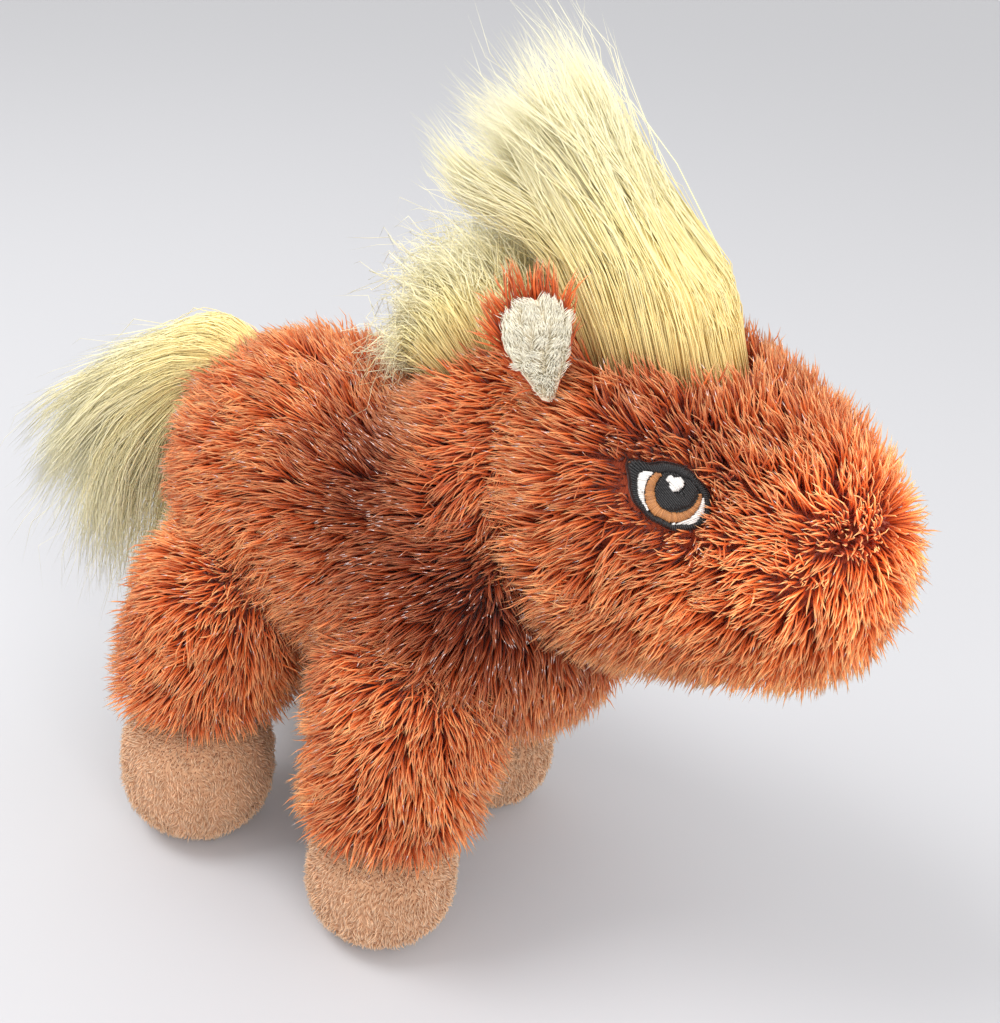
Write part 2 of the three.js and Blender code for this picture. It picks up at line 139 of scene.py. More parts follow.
def leaned(back: float, out: float, side: Side) -> Array:
    """A direction leaned back from straight up, then out to one side, both in degrees."""
    b, o = math.radians(back), math.radians(out)
    return np.array([-math.sin(b) * math.cos(o), side.value * math.sin(o), math.cos(b) * math.cos(o)])


@dataclass(frozen=True)
class Ball:
    """A ball that a form swells to."""

    centre: Array
    radius: float


def cone_distance(points: Array, first: Ball, last: Ball) -> Array:
    """Distance from points to two balls and the cone that touches both.

    A point lies past one ball's rim, past the other's, or beside the cone; each case is a
    distance to a circle's edge in the plane through the point and the axis.

    Args:
        points: Places, one to a row.
        first: The ball where the axis starts.
        last: The ball where it ends.

    Returns:
        One distance to each point, negative inside.
    """
    axis = last.centre - first.centre
    length2 = float(axis @ axis)
    taper = first.radius - last.radius
    slant2 = length2 - taper * taper
    offset = points - first.centre
    along = offset @ axis
    beyond = along - length2
    across2 = np.sum((offset * length2 - along[:, None] * axis) ** 2, axis=-1)
    along2 = along * along * length2
    beyond2 = beyond * beyond * length2
    rim = np.sign(taper) * taper * taper * across2
    at_last = np.sqrt(across2 + beyond2) / length2 - last.radius
    at_first = np.sqrt(across2 + along2) / length2 - first.radius
    beside = (np.sqrt(across2 * slant2 / length2) + along * taper) / length2 - first.radius
    near_first = np.where(np.sign(along) * slant2 * along2 < rim, at_first, beside)
    return np.where(np.sign(beyond) * slant2 * beyond2 > rim, at_last, near_first)


@dataclass(frozen=True)
class Form:
    """Balls joined in chains by touching cones, with a soft blend where the chains meet."""

    chains: tuple[tuple[Ball, Ball], ...]
    blend: float = 8.0
    floor: float = -1000.0

    def distance(self, points: Array) -> Array:
        """Distance to the blended form: the lesser of two distances, less a fillet where they are close.

        Args:
            points: Places, one to a row.

        Returns:
            One distance to each, negative inside.
        """
        total = cone_distance(points, *self.chains[0])
        for chain in self.chains[1:]:
            other = cone_distance(points, *chain)
            share = np.clip(0.5 + 0.5 * (total - other) / self.blend, 0.0, 1.0)
            total = total + (other - total) * share - self.blend * share * (1.0 - share)
        return np.maximum(total, self.floor - points[:, 2])


@dataclass(frozen=True)
class Bulb:
    """A hoof's bulb about its foot: superellipse arcs, square at the shoulder and round at the toe."""

    foot: Array
    radius: float
    height: float
    half_height: float
    shoulder_power: float = 3.4
    toe_power: float = 2.2
    floor: float = 0.4

    def distance(self, points: Array) -> Array:
        """About the distance: the superellipse sum's root less one, times the radius, cut at the floor.

        Args:
            points: Places, one to a row.

        Returns:
            One distance to each, negative inside.
        """
        offset = points - self.foot
        across = np.hypot(offset[:, 0], offset[:, 1]) / self.radius
        rise = (offset[:, 2] - self.height) / self.half_height
        power = np.where(rise > 0, self.shoulder_power, self.toe_power)
        root = (across**power + np.abs(rise) ** power) ** (1.0 / power)
        return np.maximum((root - 1.0) * self.radius, self.floor - points[:, 2])


@dataclass(frozen=True)
class Drop:
    """An ear: a round cone flattened along the way that it faces."""

    root: Array
    axes: Array
    length: float
    root_radius: float
    tip_radius: float
    flatness: float

    def local(self, points: Array) -> Array:
        """Points as facing, width and stem lengths from the root."""
        return (points - self.root) @ self.axes.T

    def distance(self, points: Array) -> Array:
        """The round cone's distance once the facing length is stretched back to a round section.

        Args:
            points: Places, one to a row.

        Returns:
            About the distance of each, negative inside.
        """
        stretched = self.local(points) / np.array([self.flatness, 1.0, 1.0])
        tip = np.array([0.0, 0.0, self.length])
        return cone_distance(stretched, Ball(np.zeros(3), self.root_radius), Ball(tip, self.tip_radius))


def drift(points: Array, wave: float) -> Array:
    """A slow wandering angle in radians over places: two sines a wave long, along slanted axes."""
    x, y, z = (points * (2.0 * np.pi / wave)).T
    return 0.5 * np.sin(x + 0.6 * z + 1.3 * np.sin(0.7 * y)) + 0.5 * np.sin(1.4 * z - 0.8 * x + 1.1 * y)


def slope(distance: OfPlaces, points: Array, step: float = 0.3) -> Array:
    """Outward normals: differences of the distance a small step either way along each axis."""
    ways = np.eye(3) * step
    return unit(np.stack([distance(points + way) - distance(points - way) for way in ways], axis=-1))


def reach(distance: OfPlaces, centre: Array, ways: Array, level: float, far: float = 200.0) -> Array:
    """Where rays from a centre cross a level of the distance, by halving the span that holds it.

    Args:
        distance: A form's distance.
        centre: Where the rays start.
        ways: Their directions.
        level: The level that they stop at.
        far: How far out the search starts.

    Returns:
        One place on each ray.
    """
    low, high = np.zeros(len(ways)), np.full(len(ways), far)
    for _ in range(HALVINGS):
        middle = (low + high) / 2.0
        inside = distance(centre + ways * middle[:, None]) < level
        low, high = np.where(inside, middle, low), np.where(inside, high, middle)
    return centre + ways * low[:, None]


# Surfaces


@dataclass
class Surface:
    """Corners in millimetres, faces as runs of corners, and each corner's place on its strand.

    The strand columns are how far along the strand a corner lies, the strand's shade, and its lock's shade,
    which carries any painted shade or painted light.
    """

    points: Array
    corners: Array
    sizes: Array
    strand: Array

    def triangles(self) -> Array:
        """Each face as a fan of triangles from its first corner.

        Returns:
            Three corners to each triangle.
        """
        starts = np.cumsum(self.sizes) - self.sizes
        fans = []
        for step in range(1, int(self.sizes.max()) - 1):
            first = starts[self.sizes > step + 1]
            fans.append(self.corners[np.stack([first, first + step, first + step + 1], axis=-1)])
        return np.concatenate(fans)

    def outward(self) -> "Surface":
        """The same surface with its faces pointing out: turned over if its signed volume is below zero.

        Returns:
            This surface.
        """
        a, b, c = np.moveaxis(self.points[self.triangles()], 1, 0)
        if np.sum(a * np.cross(b, c)) < 0:
            self.corners, self.sizes = self.corners[::-1].copy(), self.sizes[::-1].copy()
        return self

    def mirrored(self) -> "Surface":
        """The surface on the other side of the horse: Y changes sign and the faces turn over."""
        corners, sizes = self.corners[::-1].copy(), self.sizes[::-1].copy()
        return Surface(self.points * np.array([1.0, -1.0, 1.0]), corners, sizes, self.strand)

    def piece(self, name: str, finish: bpy.types.Material, body: str, slot: str) -> bpy.types.Object:
        """A scene object of this surface, in metres, with its strand places kept as an attribute.

        Args:
            name: The piece's name.
            finish: Its material.
            body: The body that it rides on.
            slot: The record's slot that its finish is from; not used.

        Returns:
            The new object.
        """
        mesh = bpy.data.meshes.new(name)
        mesh.vertices.add(len(self.points))
        mesh.vertices.foreach_set("co", (self.points * MM).astype(np.float32).ravel())
        mesh.loops.add(len(self.corners))
        mesh.loops.foreach_set("vertex_index", self.corners.astype(np.int32))
        mesh.polygons.add(len(self.sizes))
        mesh.polygons.foreach_set("loop_start", (np.cumsum(self.sizes) - self.sizes).astype(np.int32))
        mesh.update(calc_edges=True)
        mesh.polygons.foreach_set("use_smooth", np.ones(len(self.sizes), dtype=bool))
        places = mesh.attributes.new("strand", "FLOAT_VECTOR", "POINT")
        places.data.foreach_set("vector", self.strand.astype(np.float32).ravel())
        mesh.materials.append(finish)
        made = bpy.data.objects.new(name, mesh)
        bpy.context.scene.collection.objects.link(made)
        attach(made, body)
        LOG.info("%s: %d triangles", name, int((self.sizes - 2).sum()))
        return made


def plain_strand(count: int) -> Array:
    """Strand places for a surface that has no strands: its root, in the middle shade."""
    return np.tile([0.0, 0.5, 0.5], (count, 1))


def globe(rows: int, columns: int) -> tuple[Array, Array, Array]:
    """Directions over a sphere, with the faces between them: one pole, rings of columns, the other pole.

    Args:
        rows: Rings between the poles.
        columns: Directions in each ring.

    Returns:
        The directions, the faces' corners and the faces' sizes.
    """
    tilt = np.pi * (np.arange(rows) + 1.0) / (rows + 1.0)
    turn = 2.0 * np.pi * np.arange(columns) / columns
    ring = np.stack([
        np.sin(tilt)[:, None] * np.cos(turn), np.sin(tilt)[:, None] * np.sin(turn),
        np.cos(tilt)[:, None] * np.ones(columns)], axis=-1).reshape(-1, 3)
    ways = np.concatenate([[[0.0, 0.0, 1.0]], ring, [[0.0, 0.0, -1.0]]])
    here = 1 + np.arange(rows * columns).reshape(rows, columns)
    after = np.roll(here, -1, axis=1)
    quads = np.stack([here[:-1], after[:-1], after[1:], here[1:]], axis=-1).reshape(-1, 4)
    top = np.stack([np.zeros(columns, int), after[0], here[0]], axis=-1)
    bottom = np.stack([np.full(columns, rows * columns + 1), here[-1], after[-1]], axis=-1)
    corners = np.concatenate([quads.ravel(), top.ravel(), bottom.ravel()])
    sizes = np.concatenate([np.full(len(quads), 4), np.full(2 * columns, 3)])
    return ways, corners, sizes


def star(distance: OfPlaces, centre: Array, depth: float, rows: int, columns: int,
         lump: float = 0.0) -> Surface:
    """A closed skin around a centre: along each direction, the place where the form's depth is reached.

    Args:
        distance: The form's distance.
        centre: A place that sees all of the form.
        depth: How far under the form the skin lies.
        rows: Rings between the poles.
        columns: Corners in each ring.
        lump: How far soft lumps sink into the skin, as sums of three waves over the directions.

    Returns:
        The skin, facing out.
    """
    ways, corners, sizes = globe(rows, columns)
    points = reach(distance, centre, ways, -depth)
    if lump:
        turned = np.roll(ways, -1, axis=1)
        wave = sum(
            np.sin(pitch * here + bend * np.sin(twist * there))
            for (pitch, bend, twist), here, there in zip(LUMP_WAVES, ways.T, turned.T))
        points = points - ways * (lump * (0.5 + wave / (2 * len(LUMP_WAVES))))[:, None]
    return Surface(points, corners, sizes, plain_strand(len(points))).outward()


def cubes(places: Array, edge: float, shift: Array | float = 0.0) -> Array:
    """The number of the small cube that holds each place, on a lattice that may be shifted."""
    steps = np.floor(places / edge + shift).astype(np.int64) + LATTICE // 2
    return steps @ np.array([1, LATTICE, LATTICE**2])


def scatter(skin: Surface, spacing: float, rng: np.random.Generator) -> Array:
    """Even random places on a skin: many drawn by the triangles' areas, then one kept in each small cube.

    Args:
        skin: The surface that the places lie on.
        spacing: The cubes' edge.
        rng: The source of chance.

    Returns:
        The places kept.
    """
    a, b, c = np.moveaxis(skin.points[skin.triangles()], 1, 0)
    area = np.linalg.norm(np.cross(b - a, c - a), axis=-1) / 2.0
    count = int(area.sum() * DRAWS / spacing**2)
    total = np.cumsum(area)
    pick = np.minimum(np.searchsorted(total, rng.random(count) * total[-1]), len(area) - 1)
    u, v = np.sqrt(rng.random((count, 1))), rng.random((count, 1))
    places = (1.0 - u) * a[pick] + u * (1.0 - v) * b[pick] + u * v * c[pick]
    _, kept = np.unique(cubes(places, spacing), return_index=True)
    return places[np.sort(kept)]


def fibres(spines: Array, radii: Array, shades: Array, sides: int, rng: np.random.Generator) -> Surface:
    """Tapered strands: a ring of corners about each place on a spine but the last, which is the point.

    Each ring stands square to the spine there, on two directions made from one random direction
    of the strand's own, and the root's ring is closed by one face.

    Args:
        spines: Places along each strand, strands by places by three.
        radii: Each ring's radius, strands by rings.
        shades: Two shades to each strand.
        sides: Corners in each ring.
        rng: The source of chance.

    Returns:
        All the strands as one surface.
    """
    count, places = spines.shape[:2]
    rings = places - 1
    forward = unit(np.gradient(spines, axis=1))[:, :rings]
    across = along_skin(unit(rng.normal(size=(count, 1, 3))), forward)
    beside = np.cross(forward, across)
    turn = 2.0 * np.pi * np.arange(sides) / sides
    spoke = np.cos(turn)[:, None] * across[:, :, None] + np.sin(turn)[:, None] * beside[:, :, None]
    hoops = spines[:, :rings, None] + radii[:, :, None, None] * spoke
    points = np.concatenate([hoops.reshape(count, -1, 3), spines[:, -1:]], axis=1)
    k = np.arange(sides)
    low = (np.arange(rings - 1)[:, None] * sides + k).ravel()
    low_next = (np.arange(rings - 1)[:, None] * sides + (k + 1) % sides).ravel()
    quads = np.stack([low, low_next, low_next + sides, low + sides], axis=-1)
    end = (rings - 1) * sides
    tips = np.stack([end + k, end + (k + 1) % sides, np.full(sides, rings * sides)], axis=-1)
    template = np.concatenate([quads.ravel(), tips.ravel(), k[::-1]])
    sizes = np.concatenate([np.full(len(quads), 4), np.full(sides, 3), [sides]])
    each = rings * sides + 1
    corners = (template + each * np.arange(count)[:, None]).ravel()
    share = np.append(np.repeat(np.arange(rings) / rings, sides), 1.0)
    strand = np.concatenate([
        np.broadcast_to(share[:, None], (count, each, 1)),
        np.broadcast_to(shades[:, None], (count, each, 2))], axis=-1)
    return Surface(points.reshape(-1, 3), corners, np.tile(sizes, count), strand.reshape(-1, 3))


@dataclass(frozen=True)
class Pile:
    """How a cloth's pile grows: its length and thickness, its lean and curl, and its gathering in locks."""

    length: float
    radius: float
    spacing: float
    root_lean: float = 22.0
    tip_lean: float = 68.0
    steps: tuple[float, ...] = (0.4, 0.35, 0.25)
    length_spread: float = 0.14
    way_spread: float = 0.2
    lean_spread: float = 6.0
    curl: float = 0.4
    bend: float = 9.0
    lock: float = 5.2
    lock_way: float = 0.3
    lock_lean: float = 7.0
    gather: float = 0.36
    tip_share: float = 0.62
    wild_share: float = 0.1
    wild_gain: float = 3.0
    wild_extra: float = 0.15
    lean_limits: tuple[float, float] = (-20.0, 82.0)
    length_limits: tuple[float, float] = (0.55, 1.25)
    radius_low: float = 0.75
    radius_range: float = 0.5
    shade_low: float = 0.6
    shade_range: float = 0.4
    end_power: float = 1.5
    sides: int = 3

    def locks(self, roots: Array, rng: np.random.Generator) -> Array:
        """Each strand's lock: the number of the small cube that holds its root, on a random lattice."""
        return np.unique(cubes(roots, self.lock, rng.random(3)), return_inverse=True)[1]

    def spines(self, roots: Array, normals: Array, ways: Array, lean: Array, length: Array, locks: Array,
               rng: np.random.Generator) -> Array:
        """The strands' spines: each turns from its root's lean to its tip's, in steps summed from the root.

        Args:
            roots: Where the strands stand.
            normals: The skin's normals there.
            ways: The directions in the skin that they are combed to.
            lean: A share of the pile's lean for each strand.
            length: A share of its length for each strand.
            locks: Each strand's lock.
            rng: The source of chance.

        Returns:
            Places along the spines, strands by places by three.
        """
        count, steps = len(roots), np.array(self.steps)
        middle = np.cumsum(steps) - steps / 2.0
        lock_way, lock_lean = rng.normal(size=(2, locks.max() + 1))
        wild = rng.random(count) < self.wild_share
        own = rng.normal(size=(4, count, 1)) * np.where(wild, self.wild_gain, 1.0)[:, None]
        turn = self.way_spread * own[0] + self.lock_way * lock_way[locks, None]
        turn = turn + self.curl * own[1] * middle
        angle = (self.root_lean + (self.tip_lean - self.root_lean) * middle) * lean[:, None]
        angle = angle + self.lean_spread * own[2] + self.lock_lean * lock_lean[locks, None]
        angle = np.radians(np.clip(angle + self.bend * own[3] * middle, *self.lean_limits))[..., None]
        beside = np.cross(normals, ways)
        across = np.cos(turn)[..., None] * ways[:, None] + np.sin(turn)[..., None] * beside[:, None]
        spread = np.clip(1.0 + self.length_spread * rng.normal(size=count), *self.length_limits)
        spread = spread + self.wild_extra * wild
        moves = np.cos(angle) * normals[:, None] + np.sin(angle) * across
        moves = moves * (self.length * length * spread)[:, None, None] * steps[:, None]
        return roots[:, None] + np.concatenate([np.zeros((count, 1, 3)), np.cumsum(moves, axis=1)], axis=1)

    def gathered(self, spines: Array, locks: Array) -> Array:
        """The spines with each lock's strands drawn in towards their mean, more and more up to the tips.

        Args:
            spines: Places along each strand.
            locks: Each strand's lock.

        Returns:
            The spines, drawn in.
        """
        held = np.bincount(locks).astype(float)
        flat = spines.reshape(len(spines), -1)
        total = np.stack([np.bincount(locks, weights=column) for column in flat.T], axis=-1)
        middle = (total / held[:, None]).reshape(-1, *spines.shape[1:])[locks]
        share = (self.gather * np.linspace(0.0, 1.0, spines.shape[1]) ** self.end_power)[:, None]
        return spines + (middle - spines) * share

    def grow(self, roots: Array, normals: Array, ways: Array, lean: Array, length: Array, shade: Array,
             rng: np.random.Generator) -> Surface:
        """The pile's strands as one surface.

        Args:
            roots: Where the strands stand.
            normals: The skin's normals there.
            ways: The directions in the skin that they are combed to.
            lean: A share of the pile's lean for each strand.
            length: A share of its length for each strand.
            shade: A level for each strand that its lock's shade is scaled by: painted shade below one,
            painted light above it.
            rng: The source of chance.

        Returns:
            The strands.
        """
        locks = self.locks(roots, rng)
        spines = self.gathered(self.spines(roots, normals, ways, lean, length, locks, rng), locks)
        rings = len(self.steps)
        taper = 1.0 - (1.0 - self.tip_share) * (np.arange(rings) / max(rings - 1, 1)) ** self.end_power
        radii = self.radius * taper * (self.radius_low + self.radius_range * rng.random((len(roots), 1)))
        # Each lock's random tone, times the painted shade or light that the coat gives the strand
        lock_shade = (self.shade_low + self.shade_range * rng.random(locks.max() + 1)[locks]) * shade
        shades = np.stack([rng.random(len(roots)), lock_shade], axis=-1)
        return fibres(spines, radii, shades, self.sides, rng)


# Finishes


def tone(red: int, green: int, blue: int) -> tuple[float, float, float, float]:
    """A colour from its screen values: the screen's curve is a line up to its toe, and a power above it.

    Args:
        red: Its red, from 0 to 255.
        green: Its green.
        blue: Its blue.

    Returns:
        The colour's light levels, with full cover.
    """
    toe, toe_slope, offset, power, most = 0.04045, 12.92, 0.055, 2.4, 255.0
    shares = [value / most for value in (red, green, blue)]
    light = [s / toe_slope if s <= toe else ((s + offset) / (1.0 + offset)) ** power for s in shares]
    return (light[0], light[1], light[2], 1.0)


class Nodes:
    """A tree of shader nodes, added and joined by short calls."""

    def __init__(self, tree: bpy.types.NodeTree) -> None:
        """Keeps the tree that the nodes are added to."""
        self.tree = tree

    def add(self, kind: str, inputs: dict[str | int, object] | None = None,
            **settings: object) -> bpy.types.Node:
        """Adds a node.

        Args:
            kind: The node's type, less its ShaderNode prefix.
            inputs: Each input's value, or the output socket that feeds it.
            **settings: The node's own settings.

        Returns:
            The node.
        """
        node = self.tree.nodes.new("ShaderNode" + kind)
        for key, value in settings.items():
            setattr(node, key, value)
        for key, value in (inputs or {}).items():
            self.feed(node.inputs[key], value)
        return node

    def feed(self, socket: bpy.types.NodeSocket, value: object) -> None:
        """Joins an output to a socket, or sets the socket's value.

        Args:
            socket: The input.
            value: What it gets.
        """
        if isinstance(value, bpy.types.NodeSocket):
            self.tree.links.new(value, socket)
        else:
            socket.default_value = value

    def math(self, operation: str, first: object, second: object = 0.0) -> bpy.types.NodeSocket:
        """One sum on two values."""
        return self.add("Math", {0: first, 1: second}, operation=operation).outputs[0]


class Dye(Nodes):
    """A material's nodes, with what the finishes share: colours, weaves, strands, noise and bump."""

    MIX_INPUTS = (0, 6, 7)
    MIX_OUTPUT = 2

    def __init__(self, name: str) -> None:
        """Starts a material with its shader.

        Args:
            name: The material's name.
        """
        self.material = bpy.data.materials.new(name)
        self.material.use_nodes = True
        super().__init__(self.material.node_tree)
        self.shader = next(node for node in self.tree.nodes if node.type == "BSDF_PRINCIPLED")

    def dress(self, **inputs: object) -> bpy.types.Material:
        """Feeds the shader.

        Args:
            **inputs: Each input's value or socket, with underscores in its name.

        Returns:
            The material.
        """
        for key, value in inputs.items():
            self.feed(self.shader.inputs[key.replace("_", " ")], value)
        return self.material

    def ramp(self, share: bpy.types.NodeSocket,
             stops: list[tuple[float, tuple[float, ...]]]) -> bpy.types.NodeSocket:
        """A colour for each share, drawn between stops.

        Args:
            share: Where to read the band.
            stops: Places on the band, and their colours.

        Returns:
            The colour's socket.
        """
        node = self.add("ValToRGB", {"Fac": share})
        band = node.color_ramp.elements
        while len(band) < len(stops):
            band.new(0.5)
        for element, (place, colour) in zip(band, stops):
            element.position, element.color = place, colour
        return node.outputs["Color"]

    def mixed(self, share: object, first: object, second: object,
              blend: str = "MIX") -> bpy.types.NodeSocket:
        """Two colours mixed by a share.

        Args:
            share: How much of the second colour shows.
            first: The first colour.
            second: The second one.
            blend: How they are put together.

        Returns:
            The mixed colour's socket.
        """
        node = self.add("Mix", data_type="RGBA", blend_type=blend)
        for key, value in zip(self.MIX_INPUTS, (share, first, second)):
            self.feed(node.inputs[key], value)
        return node.outputs[self.MIX_OUTPUT]

    def spread(self, value: bpy.types.NodeSocket, ends: tuple[float, float],
               to_ends: tuple[float, float]) -> bpy.types.NodeSocket:
        """A value carried from one span to another, and on past its ends.

        Args:
            value: The value's socket.
            ends: The span that it comes from.
            to_ends: The span that it goes to.

        Returns:
            The new value's socket.
        """
        return self.add("MapRange", {
            "Value": value, "From Min": ends[0], "From Max": ends[1],
            "To Min": to_ends[0], "To Max": to_ends[1]}, clamp=False).outputs[0]

    def strand(self) -> tuple[bpy.types.NodeSocket, ...]:
        """How far along its strand a place lies, the strand's shade, and its lock's shade."""
        places = self.add("Attribute", attribute_name="strand").outputs["Vector"]
        return tuple(self.add("SeparateXYZ", {0: places}).outputs)

    def noise(self, scale: float, detail: float = 3.0) -> bpy.types.NodeSocket:
        """Noise over the object's own coordinates."""
        place = self.add("TexCoord").outputs["Object"]
        return self.add("TexNoise", {"Vector": place, "Scale": scale, "Detail": detail}).outputs["Fac"]

    def bump(self, height: bpy.types.NodeSocket, strength: float, distance: float) -> bpy.types.NodeSocket:
        """A normal that a height tilts."""
        made = self.add("Bump", {"Height": height, "Strength": strength, "Distance": distance})
        return made.outputs["Normal"]


@dataclass(frozen=True)
class StrandFinish:
    """Fibre whose colour runs from root to tip, and varies with the strand, its lock and its place."""

    name: str
    root: tuple[float, ...]
    middle: tuple[float, ...]
    tip: tuple[float, ...]
    middle_place: float = 0.45
    shade_low: float = 0.72
    shade_high: float = 1.16
    # Each lock's level runs from deep to full: the lock's random tone times any painted shade or painted
    # light from the coat
    deep: float = 0.3
    full: float = 1.12
    deepening: float = 1.0
    roughness: float = 0.5
    sheen: float = 0.1
    specular: float = 0.25
    patch_scale: float = 38.0
    patch_ends: tuple[float, float] = (0.15, 0.85)
    sheen_roughness: float = 0.4
    # Painted highlight: the colour that rare strands' tips are painted, standing in for glints of light
    glint: tuple[float, ...] | None = None
    glint_odds: float = 0.82
    glint_in_dark: float = 0.12
    glint_from: float = 0.82

    def build(self) -> bpy.types.Material:
        """Makes a ramp along the strand, scaled by its own random shade with broad noise, and by its lock's
        level: the lock's random tone times any painted shade or painted light that the coat gives it.

        Green and blue are scaled by a power of the level, so that dark locks, painted shade among them,
        are deeper in colour too. A rare strand's last part is painted a glint colour, a painted highlight,
        more often where the locks are dark.

        Returns:
            The material.
        """
        nodes = Dye(self.name)
        along, own, lock = nodes.strand()
        colour = nodes.ramp(along, [(0.0, self.root), (self.middle_place, self.middle), (1.0, self.tip)])
        both = nodes.math("MULTIPLY", nodes.math("ADD", own, nodes.noise(self.patch_scale)), 0.5)
        shade = nodes.spread(both, self.patch_ends, (self.shade_low, self.shade_high))
        # The lock's level: random tone with painted shade or painted light in it
        depth = nodes.spread(lock, (0.0, 1.0), (self.deep, self.full))
        level = nodes.math("MULTIPLY", shade, depth)
        cooler = nodes.math("POWER", level, self.deepening)
        scale = nodes.add("CombineXYZ", {0: level, 1: cooler, 2: cooler}).outputs[0]
        colour = nodes.mixed(1.0, colour, scale, "MULTIPLY")
        # Painted highlight on rare strand tips, more often in darker locks
        if self.glint is not None:
            odds = nodes.math("SUBTRACT", own, nodes.math("MULTIPLY", lock, self.glint_in_dark))
            rare = nodes.math("GREATER_THAN", odds, self.glint_odds)
            end = nodes.math("GREATER_THAN", along, self.glint_from)
            colour = nodes.mixed(nodes.math("MULTIPLY", rare, end), colour, self.glint)
        return nodes.dress(
            Base_Color=colour, Roughness=self.roughness, Sheen_Weight=self.sheen,
            Sheen_Roughness=self.sheen_roughness, Specular_IOR_Level=self.specular)


@dataclass(frozen=True)
class ClothFinish:
    """Woven backing or tape: a fine weave whose hollows are painted a darker colour as painted shade,
    with broad random changes in tone.
    """

    name: str
    thread: tuple[float, ...]
    hollow: tuple[float, ...]
    pitch: float = 0.6
    slant: float = 0.5
    patch_scale: float = 120.0
    hollow_place: float = 0.1
    thread_place: float = 0.6
    bump: float = 0.6
    relief: float = 0.2
    roughness: float = 0.9
    sheen: float = 0.2

    def build(self) -> bpy.types.Material:
        """Makes the weave: the product of two crossed waves is its height and picks the colour, so that its
        hollows take the darker colour as painted shade; broad noise varies the tone.

        Returns:
            The material.
        """
        nodes = Dye(self.name)
        place = nodes.add("TexCoord").outputs["Object"]
        x, y, z = nodes.add("SeparateXYZ", {0: place}).outputs
        beat = 2.0 * math.pi / (self.pitch * MM)
        warp = nodes.math("SINE", nodes.math("MULTIPLY", nodes.math("ADD", x, z), beat))
        slanted = nodes.math("ADD", y, nodes.math("MULTIPLY", z, self.slant))
        weft = nodes.math("SINE", nodes.math("MULTIPLY", slanted, beat))
        weave = nodes.math("ADD", nodes.math("MULTIPLY", nodes.math("MULTIPLY", warp, weft), 0.5), 0.5)
        shade = nodes.math("MULTIPLY", weave, nodes.noise(self.patch_scale))
        # Painted shade: the weave's hollows take the darker colour
        colour = nodes.ramp(shade, [(self.hollow_place, self.hollow), (self.thread_place, self.thread)])
        return nodes.dress(
            Base_Color=colour, Roughness=self.roughness,
            Normal=nodes.bump(weave, self.bump, self.relief * MM), Sheen_Weight=self.sheen)


@dataclass(frozen=True)
class ThreadFinish:
    """Embroidery thread: twisted, with a soft gloss along it."""

    name: str
    colour: tuple[float, ...]
    hollow: tuple[float, ...]
    twist: float = 46.0
    own_share: float = 0.5
    twist_share: float = 0.12
    base_share: float = 0.35
    bump: float = 0.35
    relief: float = 0.05
    roughness: float = 0.38
    sheen: float = 0.1

    def build(self) -> bpy.types.Material:
        """Makes the thread: a wave along each stitch is its twist, which paints the twist's grooves a little
        darker as painted shade, and each stitch's own random shade varies the colour too.

        Returns:
            The material.
        """
        nodes = Dye(self.name)
        along, own, _ = nodes.strand()
        twist = nodes.math("SINE", nodes.math("MULTIPLY", nodes.math("ADD", along, own), self.twist))
        own_part = nodes.math("MULTIPLY", own, self.own_share)
        twist_part = nodes.math("MULTIPLY", twist, self.twist_share)
        level = nodes.math("ADD", nodes.math("ADD", own_part, twist_part), self.base_share)
        # Painted shade in the twist's grooves, with each stitch's random tone
        colour = nodes.mixed(level, self.hollow, self.colour)
        return nodes.dress(
            Base_Color=colour, Roughness=self.roughness,
            Normal=nodes.bump(twist, self.bump, self.relief * MM), Sheen_Weight=self.sheen)


@dataclass(frozen=True)
class FillFinish:
    """Loose white fill: fibre in soft lumps, or pellets with a faint gloss."""

    name: str
    light: tuple[float, ...]
    dark: tuple[float, ...]
    scale: float
    roughness: float
    detail: float = 6.0
    dark_place: float = 0.3
    light_place: float = 0.7
    bump: float = 0.5
    relief: float = 0.6

    def build(self) -> bpy.types.Material:
        """Makes the fill: noise is the lumps' height and shades their hollows.

        Returns:
            The material.
        """
        nodes = Dye(self.name)
        height = nodes.noise(self.scale, self.detail)
        colour = nodes.ramp(height, [(self.dark_place, self.dark), (self.light_place, self.light)])
        return nodes.dress(
            Base_Color=colour, Roughness=self.roughness,
            Normal=nodes.bump(height, self.bump, self.relief * MM))


